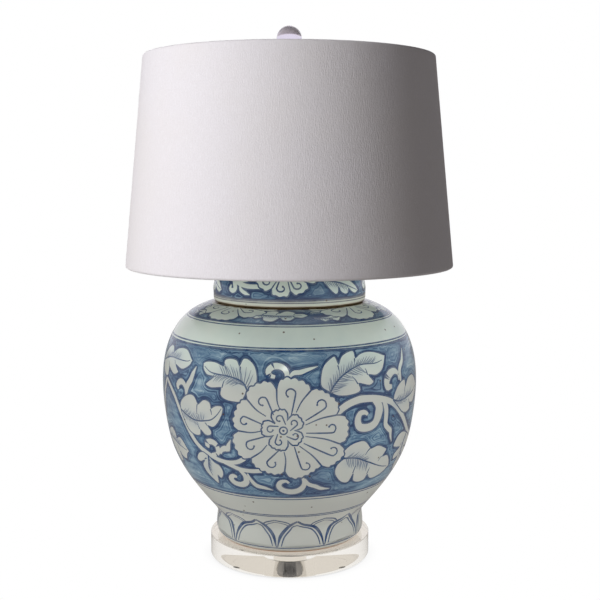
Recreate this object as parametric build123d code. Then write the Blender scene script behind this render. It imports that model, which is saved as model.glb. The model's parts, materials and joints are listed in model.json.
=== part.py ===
"""Ginger jar table lamp: a glazed porcelain jar and lid on a clear acrylic disc, with a rod, socket, bulb,
harp, linen drum shade and crystal ball finial.

Millimetres, +Z up. The origin is on the table, under the middle of the lamp; -Y is the front.
Every turned piece is a half section in (radius, height) spun about the Z axis."""

from build123d import *
import math
import os

# ---------------------------------------------------------------- driving dimensions
# Acrylic base disc and its bumpers
BUMPER_COUNT = 4
BUMPER_R = 5.0
BUMPER_T = 1.5
BUMPER_PITCH_R = 96.0
BASE_R = 114.0
BASE_T = 30.5
BASE_BEVEL = 1.2
BASE_TOP = BUMPER_T + BASE_T
COUNTERBORE_R = 24.0
WEB_T = 9.0  # acrylic left above the counterbore
WEB_BOTTOM = BASE_TOP - WEB_T
BASE_WASHER_R = 19.0
BASE_WASHER_T = 2.0
LOCK_WASHER_R = 9.5
LOCK_WASHER_T = 1.6
LOCK_WASHER_GAP = 1.0
BASE_NUT_FLATS = 17.0
BASE_NUT_T = 6.0

# Threaded lamp rod that clamps the stack
ROD_R = 5.0
ROD_BORE_R = 3.2
ROD_BOTTOM = 9.0
ROD_HOLE_R = 5.6
CLAY_HOLE_R = 6.2  # the larger hole through the fired clay
ROD_SLOT_W = 6.0
ROD_SLOT_H = 14.0
ROD_SHORT_OF_HUB = 1.0  # how far the rod stops below the top of the socket's hub
THREAD_FIT = 0.02

# Porcelain jar
JAR_WALL = 7.5
FOOT_INNER_R = 90.0
FOOT_CONTACT_R = 98.5
FOOT_SIDE = (103.6, 38.0)  # on the foot's rounded edge
FOOT_MAX_R = 105.3
FOOT_MAX_Z = 46.0
COLLAR_SIDE = (104.7, 55.0)
WAIST_R = 103.4
WAIST_Z = 64.0
BELLY_R = 179.7
BELLY_Z = 250.0
SEAT_Z = 367.2  # unglazed ledge that the lid rests on
SEAT_OUTER_R = 103.5
SEAT_INNER_R = 98.6
NECK_R = 92.5
NECK_FOOT_SIDE = (94.4, 370.0)
NECK_FOOT_Z = 375.5
NECK_TOP = 394.0
LIP_W = 7.5
JAR_FLOOR_BOTTOM = BASE_TOP + 20.0
JAR_FLOOR_TOP = JAR_FLOOR_BOTTOM + 9.0
FLOOR_SLOPE_W = 10.0  # the fillet between the floor and the wall, drawn as a slope
INNER_STATIONS = 9

# Lid
LID_R = 107.4
LID_RIM_Z = SEAT_Z
LID_RIM_INNER_R = 99.4
LID_SIDE_Z = 384.0  # where the rim's side turns into the dome
LID_TOP = 442.0
LID_WALL = 6.5
LID_FLAT_R = 14.0
LID_RIM_ROUND = 2.0
LID_DOME_POINTS = ((104.6, 399.0), (95.5, 414.5), (72.0, 430.5), (38.0, 439.8))
LID_INSIDE_POINTS = ((38.0, 433.2), (69.0, 424.0), (90.0, 409.6), (98.0, 397.0))

# Cord outlet in the back of the foot
OUTLET_Z = 43.0
OUTLET_BORE_R = 3.75
GROMMET_R = 5.5
GROMMET_FLANGE_R = 7.4
GROMMET_FLANGE_OUT_T = 2.0
GROMMET_FLANGE_IN_T = 1.5

# Stack above the lid
LID_WASHER_R = 15.0
LID_WASHER_T = 1.5
CHECK_RING_R = 21.0
CHECK_RING_CROWN_R = 12.0
CHECK_RING_T = 4.0
LOCK_NUT_FLATS = 15.0
LOCK_NUT_T = 4.5
SADDLE_T = 2.0
SADDLE_W = 9.0
SADDLE_MIDDLE_R = 12.0
SADDLE_Z = LID_TOP + LID_WASHER_T + CHECK_RING_T + LOCK_NUT_T  # underside of the saddle
SADDLE_TOP = SADDLE_Z + SADDLE_T

# Socket
SOCKET_R = 17.0
SOCKET_SHEET = 0.7
SOCKET_BOTTOM = SADDLE_TOP
CAP_HUB_R = 8.0
CAP_HUB_H = 8.0
CAP_H = 23.0
SET_SCREW_R = 1.4
SET_SCREW_HEAD_R = 2.3
BEAD_H = 1.8
BEAD_OUT = 0.6
SHELL_TOP = SOCKET_BOTTOM + 62.0
SCREW_SHELL_R = 13.35  # inside
SWITCH_Z = SOCKET_BOTTOM + 27.0
SWITCH_HOLE_R = 3.3
SWITCH_STEM_R = 2.4
KNOB_R = 5.2
KNOB_FLUTES = 16
KNOB_FLUTE_R = 0.7
BLOCK_R = 14.6
BLOCK_LOW = SOCKET_BOTTOM + CAP_H - 3.0
TERMINAL_FLAT_X = 13.4
TERMINAL_Z = BLOCK_LOW + 5.0
TERMINAL_HEAD_R = 2.6
TERMINAL_HEAD_T = 1.3
TERMINAL_POCKET = 9.0
SCREW_SHELL_OUTER_R = 14.4
SCREW_SHELL_RIDGES = 5
SCREW_SHELL_PITCH = 3.6
CONTACT_W = 5.0
CONTACT_T = 0.8

# Bulb
BULB_CAP_R = 12.9
BULB_CAP_BOTTOM = SHELL_TOP - 23.0
BULB_R = 30.0
BULB_TOP = BULB_CAP_BOTTOM + 108.0
BULB_CAP_SHEET = 0.8
BULB_CAP_LOW = BULB_CAP_BOTTOM + 4.5
BULB_CAP_TOP = BULB_CAP_BOTTOM + 26.0
BULB_CAP_RIDGES = 5
BULB_CAP_PITCH = 3.4
BULB_TIP_T = 1.2
BULB_WALL = 0.9
BULB_NECK_Z = BULB_CAP_BOTTOM + 23.0
PINCH_Z = BULB_CAP_BOTTOM + 48.0
FILAMENT_X = 9.0
FILAMENT_RISE = 26.0
BLOCK_TOP = BULB_CAP_BOTTOM - 4.0

# Harp
HARP_WIRE_R = 2.0
TAB_X = 28.4  # middle of the saddle's upright tabs
TAB_T = 1.6
TAB_W = 6.0
TAB_TOP = SADDLE_Z + 20.0
LEG_X = 31.5
SLEEVE_X = 30.0
SLEEVE_R = 6.0
SLEEVE_BORE_R = 4.6
SLEEVE_H = 14.0
SLEEVE_Z = SADDLE_Z + 9.0
LEG_BOTTOM = SADDLE_Z + 4.0
LEG_BEND_Z = SLEEVE_Z + SLEEVE_H + 16.0
KNEE_RISE = 34.0
HARP_HALF_W = 57.0
HARP_BENDS = (26.0, 30.0, 60.0, 30.0)
HARP_TOP = 685.6  # top of the flat pad
PAD_R = 7.5
PAD_T = 3.4
STUD_R = 3.15
STUD_TOP = 701.0
STUD_HEAD_R = 4.8
STUD_HEAD_T = 1.6
SHOULDER_R = 6.4
SHOULDER_T = 2.2
SWIVEL_GAP = 0.3

# Shade
SHADE_BOTTOM_R = 229.0
SHADE_BOTTOM_Z = 415.0
SHADE_TOP_R = 200.5
SHADE_TOP_Z = 704.0
LINEN_T = 1.0
LINER_T = 0.8
RING_WIRE_R = 1.6
RING_GAP = 0.2
ROLL_DEPTH = LINEN_T + LINER_T + 2 * RING_WIRE_R + 0.5 + LINEN_T  # outside to inside of a rolled edge
ROLL_RETURN = 9.0
HUB_R = 13.0
HUB_T = 1.6
HUB_Z = HARP_TOP + SWIVEL_GAP + SHOULDER_T + 0.2
ARM_R = 1.6
ARM_ANGLES = (90.0, 210.0, 330.0)
ARM_FLAT_R = 26.0  # the arms leave level to here, then rise
ARM_TOP_R = 174.0
ARM_BEND_R = 60.0
SLIT = (5.0, 4.6)  # the slits in the top edge's inner fold that let the arms through

# Finial
BALL_R = 17.5
BALL_CENTRE_Z = 728.5
FINIAL_SEAT_Z = HUB_Z + HUB_T + 0.3
BALL_FLAT_Z = BALL_CENTRE_Z - 16.3
FINIAL_FOOT_R = 8.0
FINIAL_STEM_R = 5.0
FINIAL_CUP_R = 8.6

HEX = 6
FIT = 0.15  # radial clearance between pieces that come apart


# ---------------------------------------------------------------- helpers
def turned(*outline):
    """A closed outline of (radius, height) points, spun about Z."""
    section = make_face(Polyline(*[(r, 0, z) for r, z in outline], close=True))
    return revolve(section, Axis.Z, 360)


def turned_edges(*edges):
    """Edges that together close a half section in the XZ plane, spun about Z."""
    return revolve(make_face(Wire(edges)), Axis.Z, 360)


def line(a, b):
    return Line((a[0], 0, a[1]), (b[0], 0, b[1]))


def arc(a, middle, b):
    return ThreePointArc((a[0], 0, a[1]), (middle[0], 0, middle[1]), (b[0], 0, b[1]))


def curve(points, tangents):
    ends = [(t[0], 0, t[1]) for t in tangents]
    return Spline(*[(r, 0, z) for r, z in points], tangents=ends)


def disc(radius, bottom, height, x=0.0, y=0.0):
    return Pos(x, y, bottom + height / 2) * Cylinder(radius, height)


def ring(outer, inner, bottom, height, x=0.0, y=0.0):
    return disc(outer, bottom, height, x, y) - disc(inner, bottom, height, x, y)


def hex_nut(across_flats, bore, bottom, height):
    """A hex nut with chamfered corners."""
    corner_r = across_flats / 2 / math.cos(math.pi / HEX)
    prism = Pos(0, 0, bottom) * extrude(RegularPolygon(corner_r, HEX), height)
    chamfer = corner_r - across_flats / 2
    crown = turned(
        (0, bottom),
        (across_flats / 2, bottom),
        (corner_r + 0.1, bottom + chamfer * 0.6),
        (corner_r + 0.1, bottom + height - chamfer * 0.6),
        (across_flats / 2, bottom + height),
        (0, bottom + height),
    )
    return (prism & crown) - disc(bore, bottom, height)


def wire_along(path, radius):
    """A round wire swept along a path that starts at its own end."""
    start = Plane(origin=path @ 0, z_dir=path % 0)
    return sweep(start * Circle(radius), path=path)


# ---------------------------------------------------------------- base
def base_disc():
    return turned(
        (ROD_HOLE_R, WEB_BOTTOM),
        (COUNTERBORE_R, WEB_BOTTOM),
        (COUNTERBORE_R, BUMPER_T),
        (BASE_R - BASE_BEVEL, BUMPER_T),
        (BASE_R, BUMPER_T + BASE_BEVEL),
        (BASE_R, BASE_TOP - BASE_BEVEL),
        (BASE_R - BASE_BEVEL, BASE_TOP),
        (ROD_HOLE_R, BASE_TOP),
    )


def base_bumpers():
    spots = [math.radians((i + 0.5) * 360 / BUMPER_COUNT) for i in range(BUMPER_COUNT)]
    pads = [
        disc(BUMPER_R, 0, BUMPER_T, BUMPER_PITCH_R * math.cos(a), BUMPER_PITCH_R * math.sin(a))
        for a in spots
    ]
    return Compound(pads)


def base_washer():
    return ring(BASE_WASHER_R, ROD_R + FIT, WEB_BOTTOM - BASE_WASHER_T, BASE_WASHER_T)


def base_lock_washer():
    bottom = WEB_BOTTOM - BASE_WASHER_T - LOCK_WASHER_T
    plain = ring(LOCK_WASHER_R, ROD_R + FIT, bottom, LOCK_WASHER_T)
    middle_r = (LOCK_WASHER_R + ROD_R) / 2
    split = Pos(middle_r, 0, bottom + LOCK_WASHER_T / 2) * Box(ROD_R + 2, LOCK_WASHER_GAP, 2 * LOCK_WASHER_T)
    return plain - split


def base_nut():
    bottom = WEB_BOTTOM - BASE_WASHER_T - LOCK_WASHER_T - BASE_NUT_T
    return hex_nut(BASE_NUT_FLATS, ROD_R + THREAD_FIT, bottom, BASE_NUT_T)


def lamp_rod():
    top = SOCKET_BOTTOM + CAP_HUB_H - ROD_SHORT_OF_HUB
    tube = ring(ROD_R, ROD_BORE_R, ROD_BOTTOM, top - ROD_BOTTOM)
    slot = Pos(0, ROD_R, OUTLET_Z) * Box(ROD_SLOT_W, 2 * ROD_R, ROD_SLOT_H)
    return tube - slot


# ---------------------------------------------------------------- jar and lid
BODY_POINTS = (
    (WAIST_R, WAIST_Z),
    (112.8, 80.5),
    (134.1, 107.0),
    (152.2, 134.0),
    (167.2, 167.0),
    (175.6, 205.0),
    (BELLY_R, BELLY_Z),
    (176.4, 291.0),
    (164.2, 325.0),
    (143.2, 350.0),
    (124.0, 361.0),
    (SEAT_OUTER_R, SEAT_Z),
)


def inner_points(outer, count):
    """Points on the inside of the wall, each JAR_WALL in from the outer curve along its normal."""
    found = []
    for i in range(count):
        u = 0.05 + 0.9 * i / (count - 1)
        place = outer @ u
        along = (outer % u).normalized()
        found.append((place.X - JAR_WALL * along.Z, place.Z + JAR_WALL * along.X))
    return found


def jar_body():
    body = curve(BODY_POINTS, ((0.12, 1.0), (-1.0, 0.2)))
    foot = arc((FOOT_CONTACT_R, BASE_TOP), FOOT_SIDE, (FOOT_MAX_R, FOOT_MAX_Z))
    collar = arc((FOOT_MAX_R, FOOT_MAX_Z), COLLAR_SIDE, (WAIST_R, WAIST_Z))
    neck_foot = arc((SEAT_INNER_R, SEAT_Z), NECK_FOOT_SIDE, (NECK_R, NECK_FOOT_Z))
    neck_in_r, lip_z = NECK_R - LIP_W, NECK_TOP - LIP_W / 2
    lip = arc((NECK_R, lip_z), (NECK_R - LIP_W / 2, NECK_TOP), (neck_in_r, lip_z))
    inner = inner_points(body, INNER_STATIONS)
    neck_in = (neck_in_r, SEAT_Z)
    shoulder_in = curve([neck_in, *reversed(inner)], ((0.1, -1.0), (-0.7, -1.0)))
    floor_edge = (inner[0][0] - FLOOR_SLOPE_W, JAR_FLOOR_TOP)
    section = [
        line((FOOT_INNER_R, BASE_TOP), (FOOT_CONTACT_R, BASE_TOP)),
        foot,
        collar,
        body,
        line((SEAT_OUTER_R, SEAT_Z), (SEAT_INNER_R, SEAT_Z)),
        neck_foot,
        line((NECK_R, NECK_FOOT_Z), (NECK_R, lip_z)),
        lip,
        line((neck_in_r, lip_z), neck_in),
        shoulder_in,
        line(inner[0], floor_edge),
        line(floor_edge, (CLAY_HOLE_R, JAR_FLOOR_TOP)),
        line((CLAY_HOLE_R, JAR_FLOOR_TOP), (CLAY_HOLE_R, JAR_FLOOR_BOTTOM)),
        line((CLAY_HOLE_R, JAR_FLOOR_BOTTOM), (FOOT_INNER_R, JAR_FLOOR_BOTTOM)),
        line((FOOT_INNER_R, JAR_FLOOR_BOTTOM), (FOOT_INNER_R, BASE_TOP)),
    ]
    outlet = Pos(0, (FOOT_INNER_R + FOOT_MAX_R) / 2, OUTLET_Z) * Rot(90, 0, 0) * Cylinder(GROMMET_R + 0.1, 40)
    return turned_edges(*section) - outlet


def jar_lid():
    dome_points = ((LID_R, LID_SIDE_Z), *LID_DOME_POINTS, (LID_FLAT_R, LID_TOP))
    dome = curve(dome_points, ((0.0, 1.0), (-1.0, 0.0)))
    under = LID_TOP - LID_WALL
    side_in_r = LID_RIM_INNER_R + 1.0
    inside_points = ((LID_FLAT_R, under), *LID_INSIDE_POINTS, (side_in_r, LID_SIDE_Z))
    inside = curve(inside_points, ((1.0, 0.0), (0.0, -1.0)))
    side_low = (LID_R - 0.4, LID_RIM_Z + 1.2 * LID_RIM_ROUND)
    rim_round = (LID_R - 0.45 * LID_RIM_ROUND, LID_RIM_Z + 0.45 * LID_RIM_ROUND)
    section = [
        line((LID_RIM_INNER_R, LID_RIM_Z), (LID_R - LID_RIM_ROUND, LID_RIM_Z)),
        arc((LID_R - LID_RIM_ROUND, LID_RIM_Z), rim_round, side_low),
        line(side_low, (LID_R, LID_SIDE_Z)),
        dome,
        line((LID_FLAT_R, LID_TOP), (CLAY_HOLE_R, LID_TOP)),
        line((CLAY_HOLE_R, LID_TOP), (CLAY_HOLE_R, under)),
        line((CLAY_HOLE_R, under), (LID_FLAT_R, under)),
        inside,
        line((side_in_r, LID_SIDE_Z), (LID_RIM_INNER_R, LID_RIM_Z)),
    ]
    return turned_edges(*section)


def cord_grommet():
    """Rubber bushing through the foot wall with a flange each side, built along Z and laid along +Y."""
    inner_face = FOOT_INNER_R - GROMMET_FLANGE_IN_T - 0.5
    outer_face = FOOT_MAX_R + GROMMET_FLANGE_OUT_T + 0.2
    length = outer_face - inner_face
    tube = ring(GROMMET_R, OUTLET_BORE_R, 0, length)
    outer_flange = ring(GROMMET_FLANGE_R, OUTLET_BORE_R, length - GROMMET_FLANGE_OUT_T, GROMMET_FLANGE_OUT_T)
    inner_flange = ring(GROMMET_FLANGE_R, OUTLET_BORE_R, 0, GROMMET_FLANGE_IN_T)
    bushing = tube + outer_flange + inner_flange
    return Pos(0, inner_face, OUTLET_Z) * Rot(-90, 0, 0) * bushing


# ---------------------------------------------------------------- stack above the lid
def lid_washer():
    return ring(LID_WASHER_R, ROD_HOLE_R, LID_TOP, LID_WASHER_T)


def check_ring():
    """Turned brass cap that covers the hole in the lid."""
    low = LID_TOP + LID_WASHER_T
    top = low + CHECK_RING_T
    bore = ROD_R + FIT
    section = [
        line((bore, low), (CHECK_RING_R, low)),
        TangentArc((CHECK_RING_CROWN_R, 0, top), (CHECK_RING_R, 0, low), tangent=(1, 0, 0)),
        line((CHECK_RING_CROWN_R, top), (bore, top)),
        line((bore, top), (bore, low)),
    ]
    return turned_edges(*section)


def lock_nut():
    return hex_nut(LOCK_NUT_FLATS, ROD_R + THREAD_FIT, SADDLE_Z - LOCK_NUT_T, LOCK_NUT_T)


def harp_saddle():
    """Steel strip with a round middle and two upright tabs for the harp."""
    strip = Pos(0, 0, SADDLE_Z + SADDLE_T / 2) * Box(2 * TAB_X + TAB_T, SADDLE_W, SADDLE_T)
    middle = disc(SADDLE_MIDDLE_R, SADDLE_Z, SADDLE_T)
    tab_h = TAB_TOP - SADDLE_Z
    tabs = [Pos(s * TAB_X, 0, SADDLE_Z + tab_h / 2) * Box(TAB_T, TAB_W, tab_h) for s in (-1, 1)]
    return strip + middle + tabs[0] + tabs[1] - disc(ROD_R + FIT, SADDLE_Z, SADDLE_T)


# ---------------------------------------------------------------- socket
def socket_cap():
    """Spun brass cup with a threaded hub."""
    bore, hub_top = ROD_R + THREAD_FIT, SOCKET_BOTTOM + CAP_HUB_H
    rim_z, inner_r = SOCKET_BOTTOM + CAP_H, SOCKET_R - SOCKET_SHEET
    return turned(
        (bore, SOCKET_BOTTOM),
        (CAP_HUB_R, SOCKET_BOTTOM),
        (CAP_HUB_R, hub_top - 1.5),
        (SOCKET_R - 4.0, hub_top + 1.5),
        (SOCKET_R - 0.6, hub_top + 5.5),
        (SOCKET_R, hub_top + 8.0),
        (SOCKET_R, rim_z),
        (inner_r, rim_z),
        (inner_r, hub_top + 8.2),
        (inner_r - 0.6, hub_top + 6.2),
        (inner_r - 4.0, hub_top + 2.4),
        (CAP_HUB_R - 1.2, hub_top),
        (bore, hub_top),
    )


def cap_set_screw():
    """Slotted screw through the cap's hub that bears on the rod."""
    z = SOCKET_BOTTOM + 3.2
    shank_h, head_h = 2.8, 1.6
    head_y = CAP_HUB_R + shank_h + head_h / 2 - 0.2
    shank = Pos(0, CAP_HUB_R + shank_h / 2, z) * Rot(90, 0, 0) * Cylinder(SET_SCREW_R, shank_h)
    head = Pos(0, head_y, z) * Rot(90, 0, 0) * Cylinder(SET_SCREW_HEAD_R, head_h)
    slot = Pos(0, head_y + head_h / 2, z) * Box(2.2 * SET_SCREW_HEAD_R, head_h / 2, SET_SCREW_R / 2)
    return shank + head - slot


def switch_hole():
    """The hole in the front of the shell and its liner for the switch."""
    return Pos(0, -SOCKET_R, SWITCH_Z) * Rot(90, 0, 0) * Cylinder(SWITCH_HOLE_R, SOCKET_R / 2)


def socket_shell():
    """Upper shell with two rolled beads, and a hole at the front for the switch."""
    low, top, wall = SOCKET_BOTTOM + CAP_H, SHELL_TOP, SOCKET_SHEET
    bead_tops = (top - 4.1, top)
    tube = ring(SOCKET_R, SOCKET_R - wall, low, top - low)
    for z in bead_tops:
        tube = tube + ring(SOCKET_R + BEAD_OUT, SOCKET_R - wall, z - BEAD_H, BEAD_H)
    return tube - switch_hole()


def socket_liner():
    """Fibre tube that insulates the shell."""
    outer_r = SOCKET_R - SOCKET_SHEET - 0.1
    tube = ring(outer_r, outer_r - SOCKET_SHEET, BLOCK_LOW, SHELL_TOP - 1.0 - BLOCK_LOW)
    return tube - switch_hole()


def socket_body():
    """Moulded block that carries the screw shell, contact, switch and terminals."""
    block = disc(BLOCK_R, BLOCK_LOW, BLOCK_TOP - BLOCK_LOW)
    pocket = Box(TERMINAL_POCKET, TERMINAL_POCKET, TERMINAL_POCKET)
    for side in (-1, 1):
        block = block - Pos(side * (TERMINAL_FLAT_X + TERMINAL_POCKET / 2), 0, TERMINAL_Z) * pocket
    stem_hole = Pos(0, -9.0, SWITCH_Z) * Rot(90, 0, 0) * Cylinder(SWITCH_STEM_R + 0.05, 14.0)
    return block - stem_hole


def screw_shell():
    """Rolled brass screw thread, drawn as plain rings, with its floor flange."""
    tube = ring(SCREW_SHELL_OUTER_R, SCREW_SHELL_R, BLOCK_TOP, SHELL_TOP - 2.0 - BLOCK_TOP)
    first = BLOCK_TOP + SCREW_SHELL_PITCH - 0.2
    for i in range(SCREW_SHELL_RIDGES):
        low, height = first + i * SCREW_SHELL_PITCH, 0.45 * SCREW_SHELL_PITCH
        tube = tube - ring(SCREW_SHELL_OUTER_R + 0.8, SCREW_SHELL_OUTER_R - 0.4, low, height)
    return tube


def centre_contact():
    """Brass tongue under the bulb's tip."""
    top = BULB_CAP_BOTTOM - 0.3
    foot = Pos(0, 4.0, BLOCK_TOP + CONTACT_T / 2) * Box(CONTACT_W, 12.0, CONTACT_T)
    rise_h = top - BLOCK_TOP - CONTACT_T
    rise = Pos(0, -1.6, BLOCK_TOP + CONTACT_T + rise_h / 2) * Box(CONTACT_W, CONTACT_T, rise_h)
    tongue = Pos(0, 0.8, top - CONTACT_T / 2) * Box(CONTACT_W, 5.6, CONTACT_T)
    return foot + rise + tongue


def terminal_screws():
    """Two binding screws, left and right of the block."""
    heads = []
    for side in (-1, 1):
        face_x = side * (TERMINAL_FLAT_X + TERMINAL_HEAD_T)
        middle = Pos(side * (TERMINAL_FLAT_X + TERMINAL_HEAD_T / 2), 0, TERMINAL_Z)
        head = middle * Rot(0, 90, 0) * Cylinder(TERMINAL_HEAD_R, TERMINAL_HEAD_T)
        slot = Pos(face_x, 0, TERMINAL_Z) * Box(1.0, 2.4 * TERMINAL_HEAD_R, 0.7)
        heads.append(head - slot)
    return Compound(heads)


def switch_knob():
    """Turn knob and stem: a fluted cylinder on a brass shaft, at the front of the socket."""
    knob_near, length = SOCKET_R + 4.0, 15.0
    knob = chamfer(Cylinder(KNOB_R, length).edges().filter_by(GeomType.CIRCLE), 0.6)
    flute_r = KNOB_R + KNOB_FLUTE_R / 2
    for i in range(KNOB_FLUTES):
        a = 2 * math.pi * i / KNOB_FLUTES
        knob = knob - Pos(flute_r * math.cos(a), flute_r * math.sin(a), 0) * Cylinder(KNOB_FLUTE_R, length)
    knob = Pos(0, -knob_near - length / 2, SWITCH_Z) * Rot(90, 0, 0) * knob
    stem_len = knob_near - 4.0
    stem = Pos(0, -(knob_near - stem_len / 2), SWITCH_Z) * Rot(90, 0, 0) * Cylinder(SWITCH_STEM_R, stem_len)
    return knob + stem


# ---------------------------------------------------------------- bulb
def bulb_cap():
    """Screw cap with its thread drawn as rings."""
    shell = ring(BULB_CAP_R, BULB_CAP_R - BULB_CAP_SHEET, BULB_CAP_LOW, BULB_CAP_TOP - BULB_CAP_LOW)
    for i in range(BULB_CAP_RIDGES):
        low = BULB_CAP_LOW + 2.0 + i * BULB_CAP_PITCH
        shell = shell - ring(BULB_CAP_R + 0.5, BULB_CAP_R - 0.45, low, 0.45 * BULB_CAP_PITCH)
    return shell


def bulb_insulator():
    """Black glass cone between the cap and the tip."""
    low = BULB_CAP_BOTTOM + BULB_TIP_T
    return turned((0, low), (4.6, low), (BULB_CAP_R - 0.1, BULB_CAP_LOW), (0, BULB_CAP_LOW))


def bulb_tip():
    low = BULB_CAP_BOTTOM
    return turned((0, low), (3.2, low + 0.3), (4.4, low + BULB_TIP_T), (0, low + BULB_TIP_T))


def bulb_glass():
    """Frosted pear-shaped envelope, 0.9 mm thick."""
    wall, neck_z = BULB_WALL, BULB_NECK_Z
    neck_r = BULB_CAP_R - BULB_CAP_SHEET - 0.1
    wide_z = BULB_TOP - BULB_R - 1.0
    flare = (BULB_CAP_R + 1.6, neck_z + 9.0)
    outer = curve(
        (
            (neck_r, neck_z + 3.2),
            flare,
            (21.4, neck_z + 23.0),
            (BULB_R, wide_z),
            (21.0, BULB_TOP - 8.6),
            (0, BULB_TOP),
        ),
        ((0.2, 1.0), (-1.0, 0.0)),
    )
    inner = curve(
        (
            (0, BULB_TOP - wall),
            (20.3, BULB_TOP - 9.3),
            (BULB_R - wall, wide_z),
            (21.4 - wall, neck_z + 23.2),
            (flare[0] - wall, flare[1] + 0.2),
            (neck_r - wall, neck_z + 3.4),
        ),
        ((1.0, 0.0), (-0.2, -1.0)),
    )
    section = [
        line((neck_r, neck_z), (neck_r, neck_z + 3.2)),
        outer,
        line((0, BULB_TOP), (0, BULB_TOP - wall)),
        inner,
        line((neck_r - wall, neck_z + 3.4), (neck_r - wall, neck_z)),
        line((neck_r - wall, neck_z), (neck_r, neck_z)),
    ]
    return turned_edges(*section)


def bulb_stem():
    """Glass pinch, two lead wires and a coiled filament, drawn as a plain bar."""
    low, top = BULB_NECK_Z + 0.5, PINCH_Z + FILAMENT_RISE
    lead_r, bar_r = 0.4, 0.7
    foot = turned((0, low), (10.8, low), (4.2, low + 6.0), (3.0, PINCH_Z), (0, PINCH_Z))
    leads = []
    for side in (-1, 1):
        path = Line((side * 1.6, 0, PINCH_Z - 1.0), (side * FILAMENT_X, 0, top))
        leads.append(wire_along(path, lead_r))
    bar_x, bar_z = FILAMENT_X + 0.5, top - 0.6
    bar = wire_along(Line((-bar_x, 0, bar_z), (bar_x, 0, bar_z)), bar_r)
    return foot + leads[0] + leads[1] + bar


# ---------------------------------------------------------------- harp
def harp_frame():
    """One bent wire from leg to leg, with a flat drilled pad brazed to its top."""
    points = [
        (LEG_X, 0, LEG_BOTTOM),
        (LEG_X, 0, LEG_BEND_Z),
        (HARP_HALF_W, 0, LEG_BEND_Z + KNEE_RISE),
        (HARP_HALF_W, 0, HARP_TOP - 62.0),
        (34.0, 0, HARP_TOP - PAD_T / 2),
        (5.0, 0, HARP_TOP - PAD_T / 2),
    ]
    side = FilletPolyline(*points, radius=list(HARP_BENDS))
    right = wire_along(side, HARP_WIRE_R)
    pad = disc(PAD_R, HARP_TOP - PAD_T, PAD_T)
    hole = disc(STUD_R + 0.1, HARP_TOP - 2 * PAD_T, 4 * PAD_T)
    return right + mirror(right, Plane.YZ) + pad - hole


def harp_sleeve(side):
    """Ferrule that slides up the leg to free the harp from its tab."""
    return ring(SLEEVE_R, SLEEVE_BORE_R, SLEEVE_Z, SLEEVE_H, side * SLEEVE_X)


def harp_stud():
    """Swivel stud riveted through the pad, threaded for the finial."""
    head_top = HARP_TOP - PAD_T - SWIVEL_GAP
    head_low = head_top - STUD_HEAD_T
    shoulder = HARP_TOP + SWIVEL_GAP
    return turned(
        (0, head_low),
        (STUD_HEAD_R - 0.6, head_low),
        (STUD_HEAD_R, head_low + 0.5),
        (STUD_HEAD_R, head_top),
        (STUD_R, head_top),
        (STUD_R, shoulder),
        (SHOULDER_R, shoulder),
        (SHOULDER_R, shoulder + SHOULDER_T),
        (STUD_R, shoulder + SHOULDER_T),
        (STUD_R, STUD_TOP - 0.6),
        (STUD_R - 0.6, STUD_TOP),
        (0, STUD_TOP),
    )


# ---------------------------------------------------------------- shade
def shade_radius(z):
    """Outer radius of the linen at a height."""
    t = (z - SHADE_BOTTOM_Z) / (SHADE_TOP_Z - SHADE_BOTTOM_Z)
    return SHADE_BOTTOM_R + t * (SHADE_TOP_R - SHADE_BOTTOM_R)


def cone_band(low, high, outset, thickness):
    """A band of the shade's cone, its outer face outset inwards of the linen's outer face."""
    r_low, r_high = shade_radius(low) - outset, shade_radius(high) - outset
    return turned((r_low, low), (r_high, high), (r_high - thickness, high), (r_low - thickness, low))


def rolled_edge(edge_z, way):
    """Linen turned over a ring wire. way is 1 for the top edge and -1 for the bottom one."""
    cover = edge_z - way * LINEN_T
    end = edge_z - way * ROLL_RETURN
    lip = cone_band(min(edge_z, cover), max(edge_z, cover), 0, ROLL_DEPTH)
    back = cone_band(min(cover, end), max(cover, end), ROLL_DEPTH - LINEN_T, LINEN_T)
    return lip + back


def arm_paths():
    """The middle line of each spider arm, from the hub to the top ring."""
    ring_r = shade_radius(SHADE_TOP_Z) - LINEN_T - LINER_T - RING_GAP - RING_WIRE_R
    ring_z = SHADE_TOP_Z - LINEN_T - RING_GAP - RING_WIRE_R
    arm_z = HUB_Z + HUB_T + ARM_R - 0.4
    paths = []
    for angle in ARM_ANGLES:
        c, s = math.cos(math.radians(angle)), math.sin(math.radians(angle))
        level = ((HUB_R - 3.0, arm_z), (ARM_FLAT_R, arm_z))
        raised = ((ARM_TOP_R, ring_z - 1.0), (ring_r, ring_z - 1.0))
        points = [(r * c, r * s, z) for r, z in (*level, *raised)]
        paths.append(FilletPolyline(*points, radius=ARM_BEND_R))
    return paths, ring_r, ring_z


def shade_spider():
    paths, ring_r, ring_z = arm_paths()
    hub = ring(HUB_R, STUD_R + 0.45, HUB_Z, HUB_T)
    fitter = Pos(0, 0, ring_z) * Torus(ring_r, RING_WIRE_R) + hub
    for path in paths:
        fitter = fitter + wire_along(path, ARM_R)
    return fitter


def shade_bottom_ring():
    z = SHADE_BOTTOM_Z + LINEN_T + RING_GAP + RING_WIRE_R
    r = shade_radius(z) - LINEN_T - LINER_T - RING_GAP - RING_WIRE_R
    return Pos(0, 0, z) * Torus(r, RING_WIRE_R)


def shade_liner():
    gap = LINEN_T + 0.1
    return cone_band(SHADE_BOTTOM_Z + gap, SHADE_TOP_Z - gap, LINEN_T, LINER_T)


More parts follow.
